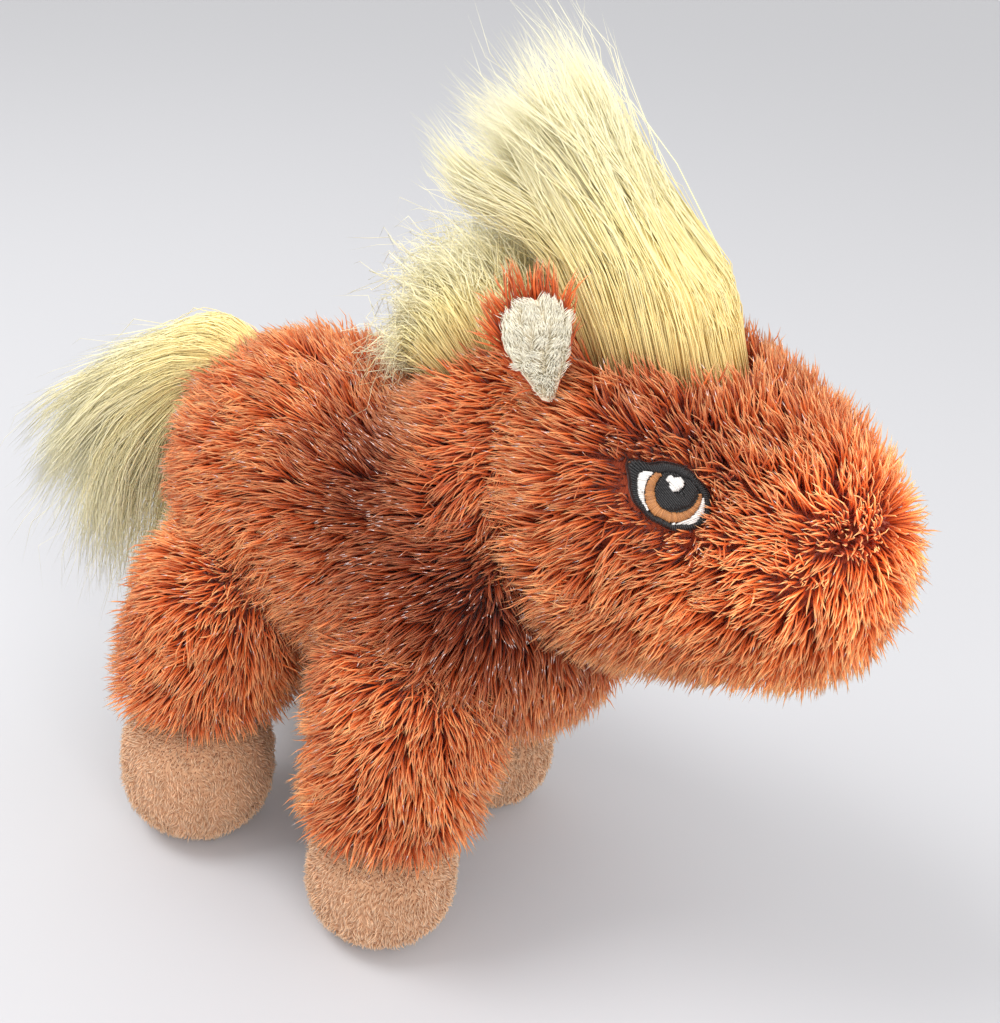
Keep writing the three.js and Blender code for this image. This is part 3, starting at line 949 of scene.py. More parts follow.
class Finishes:
    """Every finish on the horse, built once."""

    def __init__(self) -> None:
        """Builds the materials."""
        # The fur's glint colour is a painted highlight on rare strand tips; its lock levels carry painted
        # shade and light
        self.fur = StrandFinish(
            "rust_fur", tone(200, 74, 32), tone(240, 120, 56), tone(255, 200, 138), deep=0.36, full=1.09,
            deepening=1.5, glint=tone(250, 222, 214)).build()
        self.backing = ClothFinish("rust_backing", tone(196, 86, 46), tone(154, 60, 32)).build()
        self.hoof = StrandFinish(
            "tan_nap", tone(216, 162, 122), tone(244, 198, 158), tone(255, 228, 196), shade_low=0.82,
            shade_high=1.1, deep=0.6, full=1.06).build()
        self.hoof_cloth = ClothFinish("tan_backing", tone(224, 174, 134), tone(190, 142, 106)).build()
        self.lining = StrandFinish(
            "cream_nap", tone(255, 244, 216), tone(255, 248, 226), tone(255, 250, 234), shade_low=0.94,
            shade_high=1.04, deep=0.8, full=1.04).build()
        self.lining_cloth = ClothFinish("cream_backing", tone(255, 246, 222), tone(240, 228, 200)).build()
        self.long_fibre = StrandFinish(
            "pale_long_fibre", tone(253, 222, 144), tone(255, 240, 178), tone(255, 250, 220),
            middle_place=0.4, shade_low=0.92, shade_high=1.05, deep=0.86, full=1.05,
            sheen=0.04, specular=0.18, patch_scale=60.0).build()
        self.tape = ClothFinish("cotton_tape", tone(217, 203, 166), tone(170, 154, 116), pitch=0.8).build()
        self.filling = FillFinish(
            "fibrefill", tone(246, 244, 238), tone(206, 202, 194), scale=160.0, roughness=0.95).build()
        self.pellets = FillFinish(
            "pellets", tone(236, 234, 226), tone(206, 203, 194), scale=90.0, roughness=0.45).build()
        colours = {
            Thread.BLACK: (tone(26, 23, 24), tone(6, 5, 6)),
            Thread.WHITE: (tone(250, 248, 244), tone(196, 190, 184)),
            Thread.BROWN: (tone(196, 132, 74), tone(126, 74, 36)),
        }
        self.threads = {
            thread: ThreadFinish(thread.value, *pair).build() for thread, pair in colours.items()}


# The horse's forms

# The hind hooves' bulbs, larger than the front ones
HIND_HOOF = {"hoof_radius": 22.8, "hoof_height": 20.0, "hoof_half_height": 22.0}


@dataclass(frozen=True)
class LegPlan:
    """One leg: its hip, its foot, a stride back and a splay out from under the hip, and its hoof's bulb."""

    name: str
    side: Side
    stride: float = 0.0
    splay: float = 9.2
    hoof_radius: float = 21.2
    hoof_height: float = 16.0
    hoof_half_height: float = 18.0
    hip_radius: float = 26.0
    shank_radius: float = 22.5
    hem_roll: float = 2.5
    hoof_to_hem: float = 0.5
    fill_over_hem: float = 6.0
    cover_middle: float = 0.5
    fill_middle: float = 0.4

    @property
    def hip(self) -> Ball:
        """The ball that the leg turns on."""
        return Ball(PIVOTS[f"leg_{self.name}_swing"], self.hip_radius)

    @property
    def foot(self) -> Array:
        """The place on the ground under the hoof's middle."""
        under_hip = self.hip.centre * np.array([1.0, 1.0, 0.0])
        return under_hip + np.array([-self.stride, self.side.value * self.splay, 0.0])

    @property
    def hem(self) -> float:
        """The height of the fur's lower edge."""
        return self.hoof_height + self.hoof_half_height + self.hoof_to_hem

    def form(self) -> Form:
        """The leg from hip to hem."""
        shank = Ball(self.foot + UP * (self.hem + self.hem_roll), self.shank_radius)
        return Form(((self.hip, shank),), floor=self.hem)

    def part_way(self, share: float) -> Array:
        """The place a share of the way from the hip to the hem's middle."""
        return self.hip.centre * (1.0 - share) + (self.foot + UP * self.hem) * share

    def bulb(self) -> Bulb:
        """The hoof."""
        return Bulb(self.foot, self.hoof_radius, self.hoof_height, self.hoof_half_height)


@dataclass(frozen=True)
class Plan:
    """The balls that the body and the head swell to, each placed from the skull's pivot, and the legs."""

    skull_radius: float = 41.0
    muzzle_radius: float = 31.0
    neck_radius: float = 37.0
    chest_radius: float = 42.0
    rump_radius: float = 40.0
    muzzle_from_skull: tuple[float, float, float] = (31.0, 0.0, -3.0)
    neck_from_skull: tuple[float, float, float] = (-29.0, 0.0, -5.0)
    chest_from_neck: tuple[float, float, float] = (-15.0, 0.0, -32.0)
    rump_from_chest: tuple[float, float, float] = (-58.0, 0.0, 7.0)
    legs: tuple[LegPlan, ...] = (
        LegPlan("front_right", Side.RIGHT),
        LegPlan("front_left", Side.LEFT, stride=9.0, splay=1.5),
        LegPlan("hind_right", Side.RIGHT, stride=4.0, **HIND_HOOF),
        LegPlan("hind_left", Side.LEFT, stride=4.0, **HIND_HOOF),
    )

    @property
    def skull(self) -> Ball:
        """The skull, about the head's pivot."""
        return Ball(PIVOTS["head_nod"], self.skull_radius)

    @property
    def muzzle(self) -> Ball:
        """The muzzle, ahead of the skull."""
        return Ball(self.skull.centre + np.array(self.muzzle_from_skull), self.muzzle_radius)

    @property
    def neck(self) -> Ball:
        """The neck's crest."""
        return Ball(self.skull.centre + np.array(self.neck_from_skull), self.neck_radius)

    @property
    def chest(self) -> Ball:
        """The chest."""
        return Ball(self.neck.centre + np.array(self.chest_from_neck), self.chest_radius)

    @property
    def rump(self) -> Ball:
        """The rump."""
        return Ball(self.chest.centre + np.array(self.rump_from_chest), self.rump_radius)

    def torso(self) -> Form:
        """Rump to chest, and chest to neck."""
        return Form(((self.rump, self.chest), (self.chest, self.neck)))

    def head(self) -> Form:
        """Skull to muzzle."""
        return Form(((self.skull, self.muzzle),))


# Fur


@dataclass(frozen=True)
class Whorl:
    """A spot that the hair turns away from, and stands up at, so that it may show its dark depth. Its dark
    share also paints shade into the hair's colour near it, and paints light where it is below zero.
    """

    spot: Array
    reach: float
    pull: float = 1.6
    stand: float = 1.0
    # Painted shade on the hair's colour near the spot; below zero, painted light
    dark: float = 0.0

    @classmethod
    def pair(cls, middle: Array, offset: tuple[float, float, float],
             **settings: float) -> tuple["Whorl", ...]:
        """The whorls on both sides of a middle, at an offset whose second part is the way out to a side."""
        ahead, out, up = offset
        return tuple(cls(middle + np.array([ahead, side.value * out, up]), **settings) for side in Side)

    def near(self, points: Array) -> Array:
        """One at the spot, and less away from it as a bell curve of the distance over the reach."""
        return np.exp(-np.sum((points - self.spot) ** 2, axis=-1) / self.reach**2)


@dataclass
class Coat:
    """A fur cover: a cloth backing under the pile, and the pile's strands."""

    name: str
    body: str
    form: Form
    centre: Array
    node: str
    pile: Pile
    flow: OfPlaces
    whorls: list[Whorl] = field(default_factory=list)
    neighbours: list[OfPlaces] = field(default_factory=list)
    bald: OfPlaces | None = None
    trim: OfPlaces | None = None
    # Shares of the shade at places, for a painted shadow
    dim: OfPlaces | None = None
    depth: float = 6.4
    buried: float = 3.0
    rows: int = 46
    columns: int = 64
    fill: float = 0.7
    wander: float = 0.4
    wave: float = 38.0
    hang: float = 0.5
    hang_ends: tuple[float, float] = (0.1, 0.8)
    lean_wander: float = 0.2
    lean_wave: float = 1.3
    whorl_rise: float = 0.8

    def comb(self, points: Array, normals: Array) -> tuple[Array, Array, Array]:
        """Where the hair is combed to, how much of its lean it keeps, and how much painted shade or light it
        takes, at each place.

        The way is the flow, wandering slowly, plus each whorl's way outwards, weighted by how near
        it is, laid in the skin. Hair stands up at a whorl, and hangs free under the form. Each whorl's
        dark share paints shade into the hair's colour near it, and paints light where it is below zero.

        Args:
            points: Places on the backing.
            normals: The normals there.

        Returns:
            The ways, the shares of the lean, and the shares of the shade, with painted shade below one and
            painted light above it.
        """
        way = along_skin(self.flow(points), normals)
        stray = self.wander * drift(points, self.wave)[:, None]
        way = way * np.cos(stray) + np.cross(normals, way) * np.sin(stray)
        upright, dark = np.zeros((2, len(points)))
        for whorl in self.whorls:
            near = whorl.near(points)
            way = way + whorl.pull * near[:, None] * along_skin(points - whorl.spot, normals)
            upright = np.maximum(upright, near * whorl.stand)
            # Painted shade from each whorl, or painted light where its dark share is below zero
            dark = dark + near * whorl.dark
        lean = 1.0 + self.lean_wander * drift(points[:, ::-1], self.wave * self.lean_wave)
        lean = lean * (1.0 - self.whorl_rise * upright)
        lean = lean * (1.0 - self.hang * smooth(-normals[:, 2], *self.hang_ends))
        return along_skin(way, normals), lean, 1.0 - dark

    def build(self, finishes: Finishes, halves: list[tuple[str, OfPlaces]],
              rng: np.random.Generator) -> None:
        """Makes the backing and the pile, in as many pieces as there are halves.

        Args:
            finishes: The horse's finishes.
            halves: A name's ending and the test of places for each piece of the pile.
            rng: The source of chance.
        """
        skin = star(self.form.distance, self.centre, self.depth, self.rows, self.columns)
        backing = skin.piece(f"{self.name}_backing", finishes.backing, self.body, "fur")
        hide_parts(self.node)
        roots = scatter(skin, self.pile.spacing, rng)
        for other in self.neighbours:
            roots = roots[other(roots) > -self.depth - self.buried]
        if self.bald is not None:
            roots = roots[~self.bald(roots)]
        normals = slope(self.form.distance, roots)
        ways, lean, shade = self.comb(roots, normals)
        length = self.trim(roots) if self.trim is not None else np.ones(len(roots))
        # Painted shadow, such as under the cheek, scales the hair's shade
        shade = shade * self.dim(roots) if self.dim is not None else shade
        for ending, within in halves:
            held = within(roots)
            strands = self.pile.grow(
                roots[held], normals[held], ways[held], lean[held], length[held], shade[held], rng)
            strands.piece(f"{self.name}_pile{ending}", finishes.fur, self.body, "fur")


def either_side() -> list[tuple[str, OfPlaces]]:
    """The tests that part a pile down the horse's middle."""
    return [("_right", lambda points: points[:, 1] < 0.0), ("_left", lambda points: points[:, 1] >= 0.0)]


def quarters(middle: float) -> list[tuple[str, OfPlaces]]:
    """The tests that part the body's pile down the middle and across at one place along the horse.

    Args:
        middle: That place.

    Returns:
        Each quarter's ending and test.
    """
    return [
        ("_fore_right", lambda points: (points[:, 1] < 0.0) & (points[:, 0] >= middle)),
        ("_fore_left", lambda points: (points[:, 1] >= 0.0) & (points[:, 0] >= middle)),
        ("_hind_right", lambda points: (points[:, 1] < 0.0) & (points[:, 0] < middle)),
        ("_hind_left", lambda points: (points[:, 1] >= 0.0) & (points[:, 0] < middle)),
    ]


# Eyes


@dataclass(frozen=True)
class Disc:
    """A disc in an eye's plane."""

    across: float
    up: float
    radius: float

    def inside(self, x: Array, y: Array) -> Array:
        """True where the disc holds the place."""
        return (x - self.across) ** 2 + (y - self.up) ** 2 < self.radius**2


@dataclass(frozen=True)
class Lid:
    """A closed line round the middle of an eye's plane, through a few points, drawn smooth between them."""

    points: tuple[tuple[float, float], ...]

    def reach(self, angle: Array) -> Array:
        """How far out the line is at an angle: the points' distances, blended by a cosine between them.

        Args:
            angle: Angles round the middle.

        Returns:
            The distance out at each.
        """
        x, y = np.array(self.points).T
        turn, out = np.arctan2(y, x), np.hypot(x, y)
        order = np.argsort(turn)
        turn, out = turn[order], out[order]
        turn = np.concatenate([[turn[-1] - 2 * np.pi], turn, [turn[0] + 2 * np.pi]])
        out = np.concatenate([[out[-1]], out, [out[0]]])
        after = np.clip(np.searchsorted(turn, angle, side="right"), 1, len(turn) - 1)
        share = (angle - turn[after - 1]) / (turn[after] - turn[after - 1])
        share = 0.5 * share + 0.5 * (0.5 - 0.5 * np.cos(np.pi * share))
        return out[after - 1] + (out[after] - out[after - 1]) * share

    def inside(self, x: Array, y: Array, grow: float = 0.0) -> Array:
        """True where the line, drawn out by a margin, holds the place."""
        return np.hypot(x, y) < self.reach(np.arctan2(y, x)) + grow


@dataclass(frozen=True)
class Stitching:
    """One part of an eye: the places that it covers, how its stitches lie, and its thread."""

    test: Callable[[Array, Array], Array]
    lay: Lay
    thread: Thread
    angle: float = 0.0
    lift: float = 0.0


@dataclass
class Eye:
    """An embroidered eye: satin stitches over a low pad, on one plane set square to the skull.

    Places in the plane are across, towards the nose, and up.
    """

    skull: Ball
    side: Side
    back: float = -45.0
    out: float = 54.7
    sunk: float = 4.6
    outline: Lid = Lid((
        (-10.4, 4.0), (-5.6, 4.7), (-0.9, 6.3), (4.2, 4.9), (8.1, 1.8), (9.0, -2.0),
        (7.6, -4.3), (3.9, -6.3), (0.0, -6.2), (-3.9, -4.9), (-6.9, -3.0), (-8.6, 0.2)))
    opening: Lid = Lid((
        (-7.6, 2.2), (-3.4, 3.6), (0.4, 4.5), (4.6, 3.2), (7.1, 0.9), (7.9, -0.8),
        (7.0, -3.4), (3.5, -5.3), (0.0, -5.2), (-4.2, -3.9), (-6.5, -1.6)))
    iris: Disc = Disc(0.5, 0.3, 5.9)
    pupil: Disc = Disc(1.0, 1.3, 4.6)
    glints: tuple[Disc, ...] = (Disc(0.5, 2.5, 1.55), Disc(-1.3, 3.2, 0.7))
    pitch: float = 0.38
    thread: float = 0.25
    crown: float = 0.5
    crown_power: float = 0.6
    crown_low: float = 0.85
    crown_range: float = 0.3
    half_span: float = 13.0
    samples: int = 700
    fan_radius: float = 6.6
    shortest: float = 0.3
    uneven: float = 0.12
    stitch_places: int = 8
    stitch_sides: int = 5
    base_height: float = 0.2
    pad_height: float = 3.2
    pad_rise: tuple[float, ...] = (-0.6, 0.05, 0.15, 0.2)
    pad_size: tuple[float, ...] = (1.06, 1.03, 0.97, 0.7, 0.35)
    below: float = 12.0

    def __post_init__(self) -> None:
        """Sets the plane: its normal, the direction towards the nose, and the direction up."""
        self.normal = leaned(self.back, self.out, Side.RIGHT)
        self.across = along_skin(np.array([1.0, 0.0, 0.0]), self.normal)
        self.up = np.cross(self.normal, self.across)
        self.centre = self.skull.centre + self.normal * (self.skull.radius - self.sunk)

    def place(self, flat: Array) -> Array:
        """Places in the plane, with their heights off it, as places on the horse's right side."""
        return self.centre + flat @ np.stack([self.across, self.up, self.normal])

    def clearing(self, points: Array, grow: float = 0.5) -> Array:
        """True for the places, on either side of the head, that the eye and a margin cover.

        Args:
            points: Places, one to a row.
            grow: The margin.

        Returns:
            One truth to each.
        """
        folded = np.stack([points[:, 0], -np.abs(points[:, 1]), points[:, 2]], axis=-1)
        x, y, height = ((folded - self.centre) @ np.stack([self.across, self.up, self.normal]).T).T
        return self.outline.inside(x, y, grow) & (height > -self.below)

    def glinting(self, x: Array, y: Array) -> Array:
        """True where either spot of light is."""
        return self.glints[0].inside(x, y) | self.glints[1].inside(x, y)

    def threads(self, part: Stitching, rng: np.random.Generator) -> Surface:
        """Satin stitches over part of the eye: each line crosses it, and each run inside is one stitch.

        Rows are parallel lines a pitch apart, at an angle; a fan is spokes from the middle. A stitch
        bows up from its ends as a half sine, and lies over the pad by the part's lift.

        Args:
            part: The part.
            rng: The source of chance.

        Returns:
            The stitches, on the horse's right side.
        """
        span = self.half_span
        steps = np.linspace(0.0, 2.0 * span, self.samples)
        if part.lay is Lay.ROWS:
            offset = np.arange(-span, span, self.pitch)
            t = math.radians(part.angle)
            ways = np.tile([math.cos(t), math.sin(t)], (len(offset), 1))
            starts = offset[:, None] * np.array([-math.sin(t), math.cos(t)]) - span * ways
        else:
            turn = np.arange(0.0, 2.0 * np.pi, self.pitch / self.fan_radius)
            ways = np.stack([np.cos(turn), np.sin(turn)], axis=-1)
            starts = np.zeros((len(turn), 2))
        lines = starts[:, None] + ways[:, None] * steps[:, None]
        held = part.test(lines[..., 0], lines[..., 1]).astype(np.int8)
        edges = np.diff(np.pad(held, ((0, 0), (1, 1))), axis=1)
        row, first = np.nonzero(edges == 1)
        last = np.nonzero(edges == -1)[1] - 1
        long = steps[last] - steps[first] > self.shortest
        row, first, last = row[long], first[long], last[long]
        share = np.linspace(0.0, 1.0, self.stitch_places)
        uneven = rng.uniform(-self.uneven, self.uneven, (2, len(row)))
        low, high = steps[first] + uneven[0], steps[last] + uneven[1]
        run = low[:, None] + (high - low)[:, None] * share
        flat = starts[row][:, None] + ways[row][:, None] * run[..., None]
        bow = self.crown * np.sin(np.pi * share) ** self.crown_power
        bow = bow * (self.crown_low + self.crown_range * rng.random((len(row), 1)))
        rise = bow[..., None] + self.base_height + part.lift
        spines = self.place(np.concatenate([flat, rise], axis=-1))
        radii = np.full((len(row), self.stitch_places - 1), self.thread)
        return fibres(spines, radii, rng.random((len(row), 2)), self.stitch_sides, rng)

    def pad(self, columns: int = 48) -> Surface:
        """The cloth mound under the stitches: the outline in rings, from the backing up to a low crown.

        Args:
            columns: Corners in each ring.

        Returns:
            The mound, on the horse's right side.
        """
        rise = np.array([-self.pad_height, *self.pad_rise])
        size = np.array(self.pad_size)
        turn = 2.0 * np.pi * np.arange(columns) / columns - np.pi
        out = self.outline.reach(turn)
        rings = np.stack([
            size[:, None] * out * np.cos(turn), size[:, None] * out * np.sin(turn),
            np.broadcast_to(rise[:, None], (len(rise), columns))], axis=-1).reshape(-1, 3)
        points = np.concatenate([[-UP * self.pad_height], rings, [UP * self.base_height]])
        _, corners, sizes = globe(len(rise), columns)
        return Surface(self.place(points), corners, sizes, plain_strand(len(points))).outward()

    def parts(self) -> dict[str, Stitching]:
        """The parts of the eye, by their nodes' words.

        Returns:
            Six parts, from the outline in to the glint.
        """
        def shown(x: Array, y: Array) -> Array:
            """True inside the opening."""
            return self.opening.inside(x, y)

        def white(x: Array, y: Array) -> Array:
            """True for the white, beside the iris and the pupil."""
            return shown(x, y) & ~self.iris.inside(x, y) & ~self.pupil.inside(x, y)

        return {
            "outline": Stitching(
                lambda x, y: self.outline.inside(x, y) & ~shown(x, y), Lay.FAN, Thread.BLACK, lift=0.15),
            "white_rear": Stitching(
                lambda x, y: white(x, y) & (x < 0), Lay.ROWS, Thread.WHITE, angle=12.0),
            "white_front": Stitching(
                lambda x, y: white(x, y) & (x > 0), Lay.ROWS, Thread.WHITE, angle=40.0),
            "iris": Stitching(
                lambda x, y: self.iris.inside(x, y) & shown(x, y) & ~self.pupil.inside(x, y),
                Lay.FAN, Thread.BROWN, lift=0.05),
            "pupil": Stitching(
                lambda x, y: self.pupil.inside(x, y) & shown(x, y) & ~self.glinting(x, y),
                Lay.ROWS, Thread.BLACK, angle=-32.0, lift=0.05),
            "glint": Stitching(self.glinting, Lay.ROWS, Thread.WHITE, angle=-32.0, lift=0.25),
        }

    def build(self, finishes: Finishes, rng: np.random.Generator) -> None:
        """Makes the pad and the six stitched parts on this eye's side.

        Args:
            finishes: The horse's finishes.
            rng: The source of chance.
        """
        made = {"pad": (self.pad(), Thread.BLACK)}
        for name, part in self.parts().items():
            made[name] = (self.threads(part, rng), part.thread)
        for name, (surface, thread) in made.items():
            turned = surface if self.side is Side.RIGHT else surface.mirrored()
            piece = turned.piece(
                f"eye_{name}_stitching_{self.side.label}", finishes.threads[thread], "head", thread.value)
            if name != "pad":
                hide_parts(f"eye_{name}_{self.side.label}")


# Ears


@dataclass
class Ear:
    """An ear: a fur back and a cream lining, sewn round the rim and standing in a cup."""

    side: Side
    length: float = 13.2
    root_radius: float = 2.6
    tip_radius: float = 8.2
    flatness: float = 0.42
    stem_back: float = 17.0
    stem_out: float = 4.0
    turn: float = 50.0
    rows: int = 22
    columns: int = 40
    middle_share: float = 0.62
    rim_share: float = 1.02
    rim_power: int = 6
    back_leaf: tuple[float, float, float] = (-0.45, 0.0, 0.7)
    lining_leaf: tuple[float, float, float] = (0.02, 0.4, 0.9)
    back_from: float = -0.1
    lining_from: float = 0.15
    round_from: float = 0.6
    roundness: float = 0.5
    fan_out: float = 0.35
    fill: float = 0.2
    back_pile: Pile = Pile(length=10.0, radius=0.26, spacing=0.9, root_lean=34.0, tip_lean=64.0)
    lining_pile: Pile = Pile(
        length=2.6, radius=0.13, spacing=0.37, root_lean=36.0, tip_lean=80.0, steps=(0.55, 0.45), lock=2.6,
        lock_way=0.4, gather=0.4)

    def drop(self) -> Drop:
        """The ear's outer form on its own side.

        Returns:
            The form, with its axes facing out, across and up.
        """
        stem = leaned(self.stem_back, self.stem_out, self.side)
        t = math.radians(self.turn)
        facing = along_skin(np.array([math.cos(t), self.side.value * math.sin(t), 0.0]), stem)
        axes = np.stack([facing, np.cross(stem, facing), stem])
        root = PIVOTS[f"ear_{self.side.label}_flop"]
        return Drop(root, axes, self.length, self.root_radius, self.tip_radius, self.flatness)

    def shell(self, drop: Drop, low: float, high: float, grow: float) -> Surface:
        """A closed leaf of the ear between two shares of its half thickness, drawn in by grow at its rim.

        Args:
            drop: The ear's form.
            low: The lower face's share of the half thickness.
            high: The upper face's.
            grow: How far inside the form's edge the leaf ends.

        Returns:
            The leaf.
        """
        middle = drop.root + drop.axes[2] * (self.length * self.middle_share)
        ways, corners, sizes = globe(self.rows, self.columns)
        facing, width, stem = ways[:, 2], ways[:, 0], ways[:, 1]
        edge = unit(np.stack([np.zeros_like(width), width, stem], axis=-1)) @ drop.axes
        rim = reach(drop.distance, middle, edge, -grow)
        share = np.sin(np.arccos(np.clip(facing, -1.0, 1.0)))
        flat = middle + (rim - middle) * np.minimum(share * self.rim_share, 1.0)[:, None]
        local = drop.local(flat)
        half = self.half_thickness(local)
        depth = np.where(facing > 0, high, low) * half * (1.0 - share**self.rim_power)
        points = flat + depth[:, None] * drop.axes[0]
        return Surface(points, corners, sizes, plain_strand(len(points))).outward()

    def half_thickness(self, local: Array) -> Array:
        """The ear's half thickness up its stem, from the root's to the tip's in proportion."""
        share = np.clip(local[:, 2] / self.length, 0.0, 1.0)
        return self.flatness * (self.root_radius + (self.tip_radius - self.root_radius) * share)

    def build(self, finishes: Finishes, rng: np.random.Generator) -> None:
        """Makes both leaves and their pile.

        Args:
            finishes: The horse's finishes.
            rng: The source of chance.
        """
        drop = self.drop()
        facing, _, stem = drop.axes
        body = f"ear_{self.side.label}"
        back = self.shell(drop, *self.back_leaf)
        lining = self.shell(drop, *self.lining_leaf)
        for leaf, way, pile, cloth, pile_finish, part, slot in (
            (back, -facing, self.back_pile, finishes.backing, finishes.fur, "back", "fur"),
            (lining, facing, self.lining_pile, finishes.lining_cloth, finishes.lining, "lining", "lining"),
        ):
            roots = scatter(leaf, pile.spacing, rng)
            deep = drop.local(roots)[:, 0]
            roots = roots[deep < self.back_from if part == "back" else deep > self.lining_from]
            from_middle = roots - (drop.root + stem * self.length * self.round_from)
            normals = unit(way + self.roundness * from_middle / self.tip_radius)
            combed = along_skin(stem + self.fan_out * (roots - drop.root) / self.length, normals)
            one = np.ones(len(roots))
            strands = pile.grow(roots, normals, combed, one, one, one, rng)
            made = leaf.piece(f"ear_{part}_cloth_{self.side.label}", cloth, body, slot)
            strands.piece(f"ear_{part}_pile_{self.side.label}", pile_finish, body, slot)
            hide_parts(f"ear_{part}_{self.side.label}")


# Hooves


@dataclass
class Hoof:
    """A soft hoof: short nap over a bulb, with a sole sewn in under it."""

    leg: LegPlan
    pile: Pile = Pile(
        length=2.3, radius=0.18, spacing=1.0, root_lean=30.0, tip_lean=74.0, steps=(0.55, 0.45), lock=3.4,
        lock_way=0.5, gather=0.4, way_spread=0.3)
    rows: int = 30
    columns: int = 44
    depth: float = 1.5
    nap_from: float = 2.2
    seam_height: float = 5.2
    seam_width: float = 0.5
    sole_inset: float = 1.6
    sole_thickness: float = 2.4
    sole_sizes: tuple[float, ...] = (0.35, 0.7, 0.95, 1.0, 0.97, 0.6)
    sole_rises: tuple[float, ...] = (0.0, 0.0, 0.0, 0.25, 0.9, 1.0)
    pellet: float = 1.5
    pellet_pitch: float = 3.5
    pellet_jitter: float = 0.2
    pellets_above_sole: float = 2.0
    pellets_depth: float = 4.6
    pellet_rows: int = 2
    pellet_columns: int = 5
    cap_fill: float = 0.8

    def sole_radius(self) -> float:
        """The sole's radius: the bulb's at the ground, from the superellipse, less an inset.

        Returns:
            The radius.
        """
        power = self.leg.bulb().toe_power
        share = 1.0 - (self.leg.hoof_height / self.leg.hoof_half_height) ** power
        return self.leg.hoof_radius * share ** (1.0 / power) - self.sole_inset

    def sole(self, columns: int = 40) -> Surface:
        """The sole: a disc with rounded edges, as rings from the middle under it to the middle above.

        Args:
            columns: Corners in each ring.

        Returns:
            The sole.
        """
        across = np.array(self.sole_sizes) * self.sole_radius()
        rise = np.array(self.sole_rises) * self.sole_thickness
        turn = 2.0 * np.pi * np.arange(columns) / columns
        ring = np.stack([
            across[:, None] * np.cos(turn), across[:, None] * np.sin(turn),
            rise[:, None] * np.ones(columns)], axis=-1).reshape(-1, 3)
        points = np.concatenate([[UP * 0.0], ring, [UP * self.sole_thickness]]) + self.leg.foot
        _, corners, sizes = globe(len(across), columns)
        return Surface(points, corners, sizes, plain_strand(len(points))).outward()

    def fill(self) -> Surface:
        """Pellets in the bulb: a small faceted ball at each jittered lattice place well inside it.

        Returns:
            The pellets as one surface.
        """
        rng = Chance.PELLETS.source()
        bulb = self.leg.bulb()
        span = np.arange(-self.leg.hoof_radius, self.leg.hoof_radius + 1.0, self.pellet_pitch)
        lowest = self.sole_thickness + self.pellets_above_sole
        tall = np.arange(lowest, 2.0 * self.leg.hoof_half_height, self.pellet_pitch)
        lattice = np.meshgrid(span, span, tall, indexing="ij")
        places = np.stack(lattice, axis=-1).reshape(-1, 3) + self.leg.foot
        places = places + rng.uniform(-self.pellet_jitter, self.pellet_jitter, places.shape)
        places = places[bulb.distance(places) < -self.pellets_depth]
        ways, corners, sizes = globe(self.pellet_rows, self.pellet_columns)
        points = places[:, None] + ways * self.pellet
        shift = len(ways) * np.arange(len(places))[:, None]
        return Surface(
            points.reshape(-1, 3), (corners + shift).ravel(), np.tile(sizes, len(places)),
            plain_strand(len(places) * len(ways)))

    def build(self, finishes: Finishes, rng: np.random.Generator) -> None:
        """Makes the cap, its nap, the sole and the pellets.

        Args:
            finishes: The horse's finishes.
            rng: The source of chance.
        """
        bulb = self.leg.bulb()
        body = f"leg_{self.leg.name}"
        centre = self.leg.foot + UP * self.leg.hoof_height
        skin = star(bulb.distance, centre, self.depth, self.rows, self.columns)
        roots = scatter(skin, self.pile.spacing, rng)
        beside_seam = np.abs(roots[:, 2] - self.seam_height) > self.seam_width
        roots = roots[(roots[:, 2] > self.nap_from) & beside_seam]
        normals = slope(bulb.distance, roots)
        combed = along_skin(np.tile(-UP, (len(roots), 1)), normals)
        one = np.ones(len(roots))
        nap = self.pile.grow(roots, normals, combed, one, one, one, rng)
        for part, surface, finish, slot, replaced in (
            ("cap_cloth", skin, finishes.hoof_cloth, "hoof_pile", "cap"),
            ("nap", nap, finishes.hoof, "hoof_pile", None),
            ("sole_cloth", self.sole(), finishes.hoof_cloth, "hoof_pile", "sole"),
            ("pellets_fill", self.fill(), finishes.pellets, "pellets", "pellets"),
        ):
            made = surface.piece(f"hoof_{part}_{self.leg.name}", finish, body, slot)
            if replaced:
                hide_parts(f"hoof_{replaced}_{self.leg.name}")


# Tufts


@dataclass(frozen=True)
class Strands:
    """How many fibres of one kind a tuft has, how far they reach, and how loose they are.

    A reach is a share of the lock's. Draw is how far the fibres close in to their lock's middle,
    and pairs of numbers are the places up the fibre where a change starts and where it is full.
    """

    count: int
    places: int
    radius: float
    low_reach: float
    high_reach: float
    fray: float
    wave: float
    crimp: float
    draw: float
    stray: float
    stray_share: float
    tip_share: float = 0.5
    stray_curl: float = 2.0
    stray_spread: float = 0.6
    slant: float = 0.14
    back_slant: float = 0.5
    long_power: float = 0.5
    draw_ends: tuple[float, float] = (0.3, 0.9)
    crimp_ends: tuple[float, float] = (0.1, 0.9)
    stray_ends: tuple[float, float] = (0.05, 0.7)
    crimp_beats: float = 2.0
    crimp_beat_range: float = 2.5
    fray_from: float = 0.4
    fray_most: float = 1.2
    fray_power: float = 1.4
    own_fray: float = 0.4
    lock_fray: float = 0.6
    radius_low: float = 0.7
    radius_range: float = 0.6
    shade_low: float = 0.6
    shade_range: float = 0.4
    sides: int = 3


